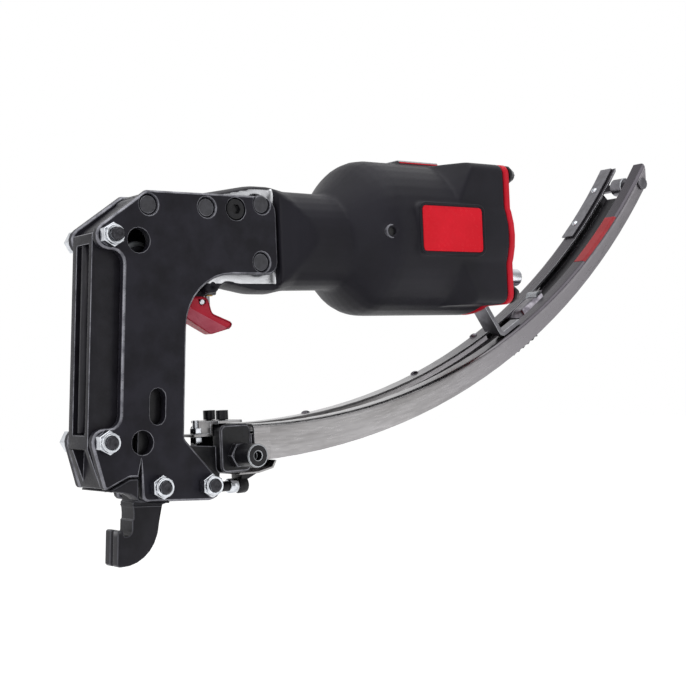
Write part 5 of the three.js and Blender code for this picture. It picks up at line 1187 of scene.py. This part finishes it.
@dataclass
class NoseBlock(SubAssembly):
    """Mount block between the toes, its screws, strip and latch, and the clamp under it.

    Sleeve and head are given by their two places along X and their radius.
    """

    axis: Point = (0.0, -2.0, -118.9)
    shank: float = 2.4
    shank_from: float = -41.0
    sleeve: Triple = (-31.0, -26.0, 3.5)
    head: Triple = (-25.9, -20.9, 3.9)
    lip: float = 0.3
    round_end: float = 1.0
    cradle: Slab = Slab("rail_cradle", ((-31.0, -112.3), (-20.5, -112.3), (-12.6, -110.6), (-10.8, -107.6),
                                        (-9.8, -108.0), (-11.8, -111.5), (-20.1, -113.2), (-31.0, -113.2)),
                        -13.0, 13.0)
    cradle_edge: float = 0.2
    stay: Slab = Slab("cradle_stay", ((-24.6, -113.4), (-24.6, -116.6), (-20.8, -116.2), (-11.4, -112.0),
                                      (-19.0, -113.4)), -4.5, 4.5)
    stay_edge: float = 0.25
    thread_radius: float = 1.42
    thread_crest: float = 0.22
    thread_pitch: float = 0.7
    skins: dict[str, Skin] = field(default_factory=lambda: {
        "mount_block": Skin(BLACK_SCREW, EDGE_WEAR_AND_HIGHLIGHT, 0.3),
        "block_screw_left": SCREW_SKIN,
        "block_screw_right": SCREW_SKIN,
        "clamp_strip": Skin(SATIN_SHEET, GROUND_STEEL, 0.12),
        "latch_base": Skin(BLACK_SCREW, EDGE_WEAR_AND_HIGHLIGHT, 0.2),
        "latch_plunger": Skin(BLACK_SCREW, GROUND_STEEL, 0.3),
        "trim_screw": ZINC_SKIN,
    })

    def clamp(self) -> None:
        """Builds the clamp screw behind the toe: shank, bright sleeve and black head."""
        lip, shank, blunt = self.lip, self.shank, self.round_end
        start, end, radius = self.sleeve
        bright = [(start, shank), (start, radius - lip), (start + lip, radius), (end - lip, radius),
                  (end, radius - lip), (end, shank)]
        keep("clamp_sleeve", turned("clamp_sleeve", bright, self.axis), TOOL, BRIGHT_ZINC)
        front, rear, wide = self.head
        dark = [(self.shank_from, shank), (start + lip, shank), (front - lip, shank), (front, wide - lip),
                (front + lip, wide), (rear - blunt, wide), (rear - blunt / 3, wide - blunt / 3), (rear, wide - blunt)]
        keep("clamp_screw", turned("clamp_screw", dark, self.axis), TOOL, BLACK_SCREW)

    def cradle_sheet(self) -> None:
        """Adds the bright sheet that holds the rails' lower edges to the block, with its black stay."""
        for slab, edge, slot, finish in ((self.cradle, self.cradle_edge, "stainless", SATIN_SHEET),
                                         (self.stay, self.stay_edge, "black_steel", BLACK_SCREW)):
            mesh = prism(slab.name, slab.outline, slab.start, slab.end, edge)
            keep(slab.name, mesh, TOOL, finish)

    def trim_thread(self) -> None:
        """Winds the thread on the trim screw above and below its nuts, a little coarser than real, so that it shows."""
        low, high = span("trim_screw")
        middle, crest = (low + high) / 2, self.thread_crest
        long = high.z - low.z - 2 * crest
        thread_tree().run("trim_thread", [(middle.x, middle.y, low.z + crest)], {
            "Radius": self.thread_radius * MM, "Height": long * MM, "Turns": long / self.thread_pitch,
            "Crest": crest * MM, "Turn": (0.0, 0.0, 0.0)}, body_of("trim_screw"), slot_of("trim_screw"), BRIGHT_ZINC)

    def build(self) -> None:
        """Dresses the group and adds the clamp, the cradle and the thread."""
        self.dress()
        self.clamp()
        self.cradle_sheet()
        self.trim_thread()


@dataclass(frozen=True)
class Strip:
    """A thin strip that follows the magazine's arc, with its slot and finish.

    Span is measured along X at the magazine's top, depths below that top, and sides along Y, in millimetres.
    """

    name: str
    span: tuple[float, float]
    depths: tuple[float, float]
    sides: tuple[float, float]
    slot: str
    finish: Finish
    steps: int = 72

    def lay(self) -> None:
        """Makes the strip and keeps it as a piece."""
        places = [self.span[0] + (self.span[1] - self.span[0]) * i / self.steps for i in range(self.steps + 1)]
        outline = [arc_point(x, self.depths[0]) for x in places]
        outline += [arc_point(x, self.depths[1]) for x in reversed(places)]
        keep(self.name, prism(self.name, outline, *self.sides), TOOL, self.finish)


@dataclass
class Magazine(SubAssembly):
    """Curved rails, clip rail, pusher, end roller, cover and bracket.

    Screws, rivets, label and guard are placed along X at the magazine's top, and by their depth below it. Where more
    than inward_share of a face's normal points to the arc's centre, the sheet is painted lighter, fading to painted
    shade towards the rear.
    """

    pusher_top: float = -1.6
    pusher_shift: float = 2.5
    pusher_slope: float = 0.6
    pusher_crown: float = 0.5
    label_span: tuple[float, float] = (207.5, 235.8)
    label_section: Outline = ((-7.3, -0.16), (-13.4, -0.16), (-14.4, 0.04), (-15.3, 0.66),
                              (-15.3, 0.88), (-14.4, 0.24), (-13.4, 0.02), (-7.3, 0.02))
    label_steps: int = 12
    strips: tuple[Strip, ...] = (
        Strip("rail_edging", (-20.0, 222.0), (3.6, 7.6), (6.3, 7.3), "dark_steel", DARK_RAIL),
        # A dark strip over the far rail's inner wall towards the rear: painted shade.
        Strip("far_wall_painted_shade", (150.0, 252.0), (2.0, 8.6), (8.95, 9.35), "dark_steel", DARK_RAIL),
        # A bright strip along the far rail's inner lip: a painted highlight.
        Strip("lip_painted_highlight_strip", (-6.0, 250.0), (0.2, 1.3), (8.95, 9.4), "stainless", LIP_PAINTED_HIGHLIGHT),
    )
    head_high: float = 1.25
    screw_places: tuple[float, ...] = (28.2, 102.0, 146.6)
    screw_depth: float = 0.05
    screw_y: float = 15.2
    screw_radius: float = 2.3
    screw_slot: float = 0.55
    rivet_places: tuple[float, ...] = (252.8, 234.2)
    rivet_depth: float = -1.15
    rivet_y: float = 14.5
    rivet_radius: float = 2.0
    rivet_slot: float = 0.4
    guard_span: tuple[float, float] = (143.5, 161.5)
    guard_teeth: int = 5
    guard_depths: Triple = (8.6, 11.0, 11.8)
    guard_sides: tuple[float, float] = (-14.7, -13.9)
    inward_share: float = 0.6
    skins: dict[str, Skin] = field(init=False)
    paints: dict[str, Finish] = field(default_factory=lambda: {"pusher_spring": SPRING_WIRE})

    def __post_init__(self) -> None:
        """Lists the skins; the rails' folded tops take a copy of the sheet with painted light, fading to painted shade
        towards the rear.
        """
        rail = Skin(BRUSHED_SHEET, GROUND_STEEL, 0.07, patches=(Patch(SHEET_PAINTED_LIGHT_SHADE, self.faces_centre),))
        self.skins = {
            "magazine_rail_left": rail,
            "magazine_rail_right": rail,
            "clip_rail": Skin(DARK_RAIL, GROUND_STEEL, 0.35),
            "pusher": Skin(POLISHED_SPRING, POLISHED_SPRING, 1.1, steps=4, moved=self.settle),
            "end_roller": Skin(DULL_SHEET, GROUND_STEEL, 0.15),
            "end_cover": Skin(DULL_SHEET, DULL_SHEET, 0.05),
            "support_bracket": Skin(DULL_SHEET, GROUND_STEEL, 0.15),
            "end_pin": Skin(DULL_SHEET, DULL_SHEET, 0.3),
        }

    def faces_centre(self, middle: Vector, normal: Vector) -> bool:
        """Tells whether a rail's face looks to the centre of the magazine's arc."""
        inward = (Vector(ARC_CENTRE) - middle) * Vector((1, 0, 1))
        return normal.dot(inward.normalized()) > self.inward_share

    def settle(self, corner: Vector) -> Vector:
        """Lowers the pusher's top to where it rides in the slot, and narrows it there.

        Args:
            corner: A corner of the pusher, in millimetres.

        Returns:
            Its new place.
        """
        out = Vector((corner.x - ARC_CENTRE[0], 0, corner.z - ARC_CENTRE[2]))
        depth = out.length - ARC_RADIUS
        if depth > self.pusher_top:
            return corner
        lowered = corner + out.normalized() * (self.pusher_top - depth)
        return Vector((lowered.x + self.pusher_shift, lowered.y * self.pusher_crown,
                       lowered.z + self.pusher_shift * self.pusher_slope))

    def label(self) -> None:
        """Lays the bare red foil on the near flange, round the start of its bend."""
        start, end = self.label_span
        rings = []
        for i in range(self.label_steps + 1):
            places = [(y, arc_point(start + (end - start) * i / self.label_steps, depth))
                      for y, depth in self.label_section]
            rings.append([(x, y, z) for y, (x, z) in places])
        keep("flange_label", loft("flange_label", rings, smooth=False), TOOL, RED_FOIL)

    def heads(self) -> None:
        """Sets the screws of the far flange and the cover's rivets."""
        tree = head_tree()
        shared = {"Height": self.head_high * MM, "Centre": tuple(v * MM for v in ARC_CENTRE)}
        for name, places, depth, y, radius, slit, slot, finish in (
                ("far_flange_screws", self.screw_places, self.screw_depth, self.screw_y, self.screw_radius,
                 self.screw_slot, "black_steel", POLISHED_SPRING),
                ("cover_rivets", self.rivet_places, self.rivet_depth, self.rivet_y, self.rivet_radius,
                 self.rivet_slot, "zinc", BRIGHT_ZINC)):
            feet = [arc_point(x, depth) for x in places]
            sizes = {**shared, "Radius": radius * MM, "Slot": slit * MM}
            tree.run(name, [(x, y, z) for x, z in feet], sizes, TOOL, slot, finish)

    def guard(self) -> None:
        """Adds the toothed dark strip inside the near wall's lower edge."""
        start, end = self.guard_span
        top, root, tip = self.guard_depths
        half = (end - start) / (2 * self.guard_teeth)
        upper = [arc_point(start + 2 * half * i, top) for i in range(self.guard_teeth + 1)]
        lower = [arc_point(start + half * i, root if i % 2 else tip) for i in range(2 * self.guard_teeth, -1, -1)]
        keep("wall_guard", prism("wall_guard", upper + lower, *self.guard_sides), TOOL, BLACK_SCREW)

    def build(self) -> None:
        """Dresses the group and adds label, strips, screws, rivets and guard."""
        self.dress()
        self.label()
        for strip in self.strips:
            strip.lay()
        self.heads()
        self.guard()


@dataclass(frozen=True)
class Softbox:
    """A rectangular lamp: its name, place, width and height in millimetres, and power in watts."""

    name: str
    at: Point
    size: tuple[float, float]
    watts: float


@dataclass
class Studio:
    """White surroundings, soft lamps, pale floor and the camera.

    Places and sizes are in millimetres, and clip, between which the camera sees, in metres.
    """

    eye: Point = (-370.1, -541.0, -67.7)
    right: Point = (0.795, -0.6052, -0.0414)
    up: Point = (0.0195, -0.0427, 0.9989)
    back: Point = (-0.6063, -0.7949, -0.0222)
    lens: float = 70.32
    clip: tuple[float, float] = (0.01, 50.0)
    white: str = "ffffff"
    fill: float = 0.4
    dim_side: Point = (0.55, -0.83, 0.05)
    dim_span: tuple[float, float] = (0.35, 0.95)
    dim_level: float = 0.4
    floor_z: float = -300.0
    floor_half: float = 4000.0
    floor_grey: str = "e6e6e6"
    floor_glow: float = 0.72
    aim: Point = (60.0, 0.0, -40.0)
    lamps: tuple[Softbox, ...] = (
        Softbox("overhead_softbox", (-50.0, -200.0, 1250.0), (1500.0, 1100.0), 9.0),
        Softbox("left_softbox", (-1300.0, -300.0, 250.0), (800.0, 1300.0), 4.5),
        Softbox("right_softbox", (900.0, -1200.0, 300.0), (700.0, 1200.0), 2.5),
    )

    def camera(self) -> None:
        """Places the camera where the picture was taken."""
        data = bpy.data.cameras.new("camera")
        data.lens = self.lens
        data.clip_start, data.clip_end = self.clip
        camera = placed("camera", data)
        axes = [Vector(v).normalized() for v in (self.right, self.up, self.back)]
        turn = Matrix(axes).transposed().to_4x4()
        camera.matrix_world = Matrix.Translation(Vector(self.eye) * MM) @ turn
        bpy.context.scene.camera = camera

    def surroundings(self) -> None:
        """Makes the world white to the camera, plain grey light on surfaces, and dimmer on one side in gloss."""
        world = bpy.data.worlds.new("studio_white")
        bpy.context.scene.world = world
        world.use_nodes = True
        tree = world.node_tree
        tree.nodes.clear()
        rays = add(tree, "ShaderNodeLightPath").outputs
        seen = add(tree, "ShaderNodeMath", {"operation": "MAXIMUM"},
                   {0: rays["Is Camera Ray"], 1: rays["Is Transmission Ray"]}).outputs[0]
        seen = add(tree, "ShaderNodeMath", {"operation": "MAXIMUM"}, {0: seen, 1: rays["Is Glossy Ray"]}).outputs[0]
        place = add(tree, "ShaderNodeTexCoord").outputs["Generated"]
        front = add(tree, "ShaderNodeVectorMath", {"operation": "DOT_PRODUCT"},
                    {0: place, 1: self.dim_side}).outputs["Value"]
        dim = add(tree, "ShaderNodeMapRange", {"interpolation_type": "SMOOTHSTEP"},
                  {0: front, 1: self.dim_span[0], 2: self.dim_span[1], 3: 1.0, 4: self.dim_level}).outputs[0]
        level = add(tree, "ShaderNodeMix", {"data_type": "FLOAT"},
                    {0: rays["Is Glossy Ray"], 2: 1.0, 3: dim}).outputs[0]
        white = linear(self.white)
        open_sky = add(tree, "ShaderNodeBackground", None, {"Color": white, "Strength": level}).outputs[0]
        grey = add(tree, "ShaderNodeBackground", None, {"Color": white, "Strength": self.fill}).outputs[0]
        mixed = add(tree, "ShaderNodeMixShader", None, {0: seen, 1: grey, 2: open_sky}).outputs[0]
        add(tree, "ShaderNodeOutputWorld", None, {"Surface": mixed})

    def floor(self) -> None:
        """Lays a pale floor that the camera sees as white with the object's shadow on it."""
        h = self.floor_half * MM
        mesh = bpy.data.meshes.new("floor")
        mesh.from_pydata([(-h, -h, 0), (h, -h, 0), (h, h, 0), (-h, h, 0)], [], [(0, 1, 2, 3)])
        mesh.transform(Matrix.Translation((0, 0, self.floor_z * MM)))
        floor = placed("floor", mesh)
        material = bpy.data.materials.new("pale_floor")
        material.use_nodes = True
        tree = material.node_tree
        tree.nodes.clear()
        rays = add(tree, "ShaderNodeLightPath").outputs
        seen = add(tree, "ShaderNodeMath", {"operation": "MAXIMUM"},
                   {0: rays["Is Camera Ray"], 1: rays["Is Glossy Ray"]}).outputs[0]
        level = add(tree, "ShaderNodeMath", {"operation": "MULTIPLY"}, {0: seen, 1: self.floor_glow}).outputs[0]
        lit = add(tree, "ShaderNodeBsdfDiffuse", None, {"Color": linear(self.floor_grey)}).outputs[0]
        glow = add(tree, "ShaderNodeEmission", None, {"Color": linear(self.white), "Strength": level}).outputs[0]
        both = add(tree, "ShaderNodeAddShader", None, {0: lit, 1: glow}).outputs[0]
        add(tree, "ShaderNodeOutputMaterial", None, {"Surface": both})
        mesh.materials.append(material)

    def hang(self, box: Softbox) -> None:
        """Hangs one soft lamp that faces the tool.

        Args:
            box: The lamp's name, place, size and power.
        """
        data = bpy.data.lights.new(box.name, "AREA")
        data.shape = "RECTANGLE"
        data.size, data.size_y = (side * MM for side in box.size)
        data.energy = box.watts
        lamp = placed(box.name, data)
        at = Vector(box.at)
        turn = (Vector(self.aim) - at).to_track_quat("-Z", "Y").to_matrix().to_4x4()
        lamp.matrix_world = Matrix.Translation(at * MM) @ turn

    def build(self) -> None:
        """Sets up camera, surroundings, floor and lamps."""
        bpy.context.scene.view_settings.view_transform = "Standard"
        self.camera()
        self.surroundings()
        self.floor()
        for box in self.lamps:
            self.hang(box)


def main() -> None:
    """Builds the sub-assemblies in order, then the studio."""
    logging.basicConfig(level=logging.INFO, format="%(name)s: %(message)s")
    for group in (PowerHead(), PlateFrame(), Works(), TriggerGroup(), NoseBlock(), Magazine()):
        group.build()
        LOG.info("%s is dressed", type(group).__name__)
    Studio().build()


if __name__ == "__main__":
    main()
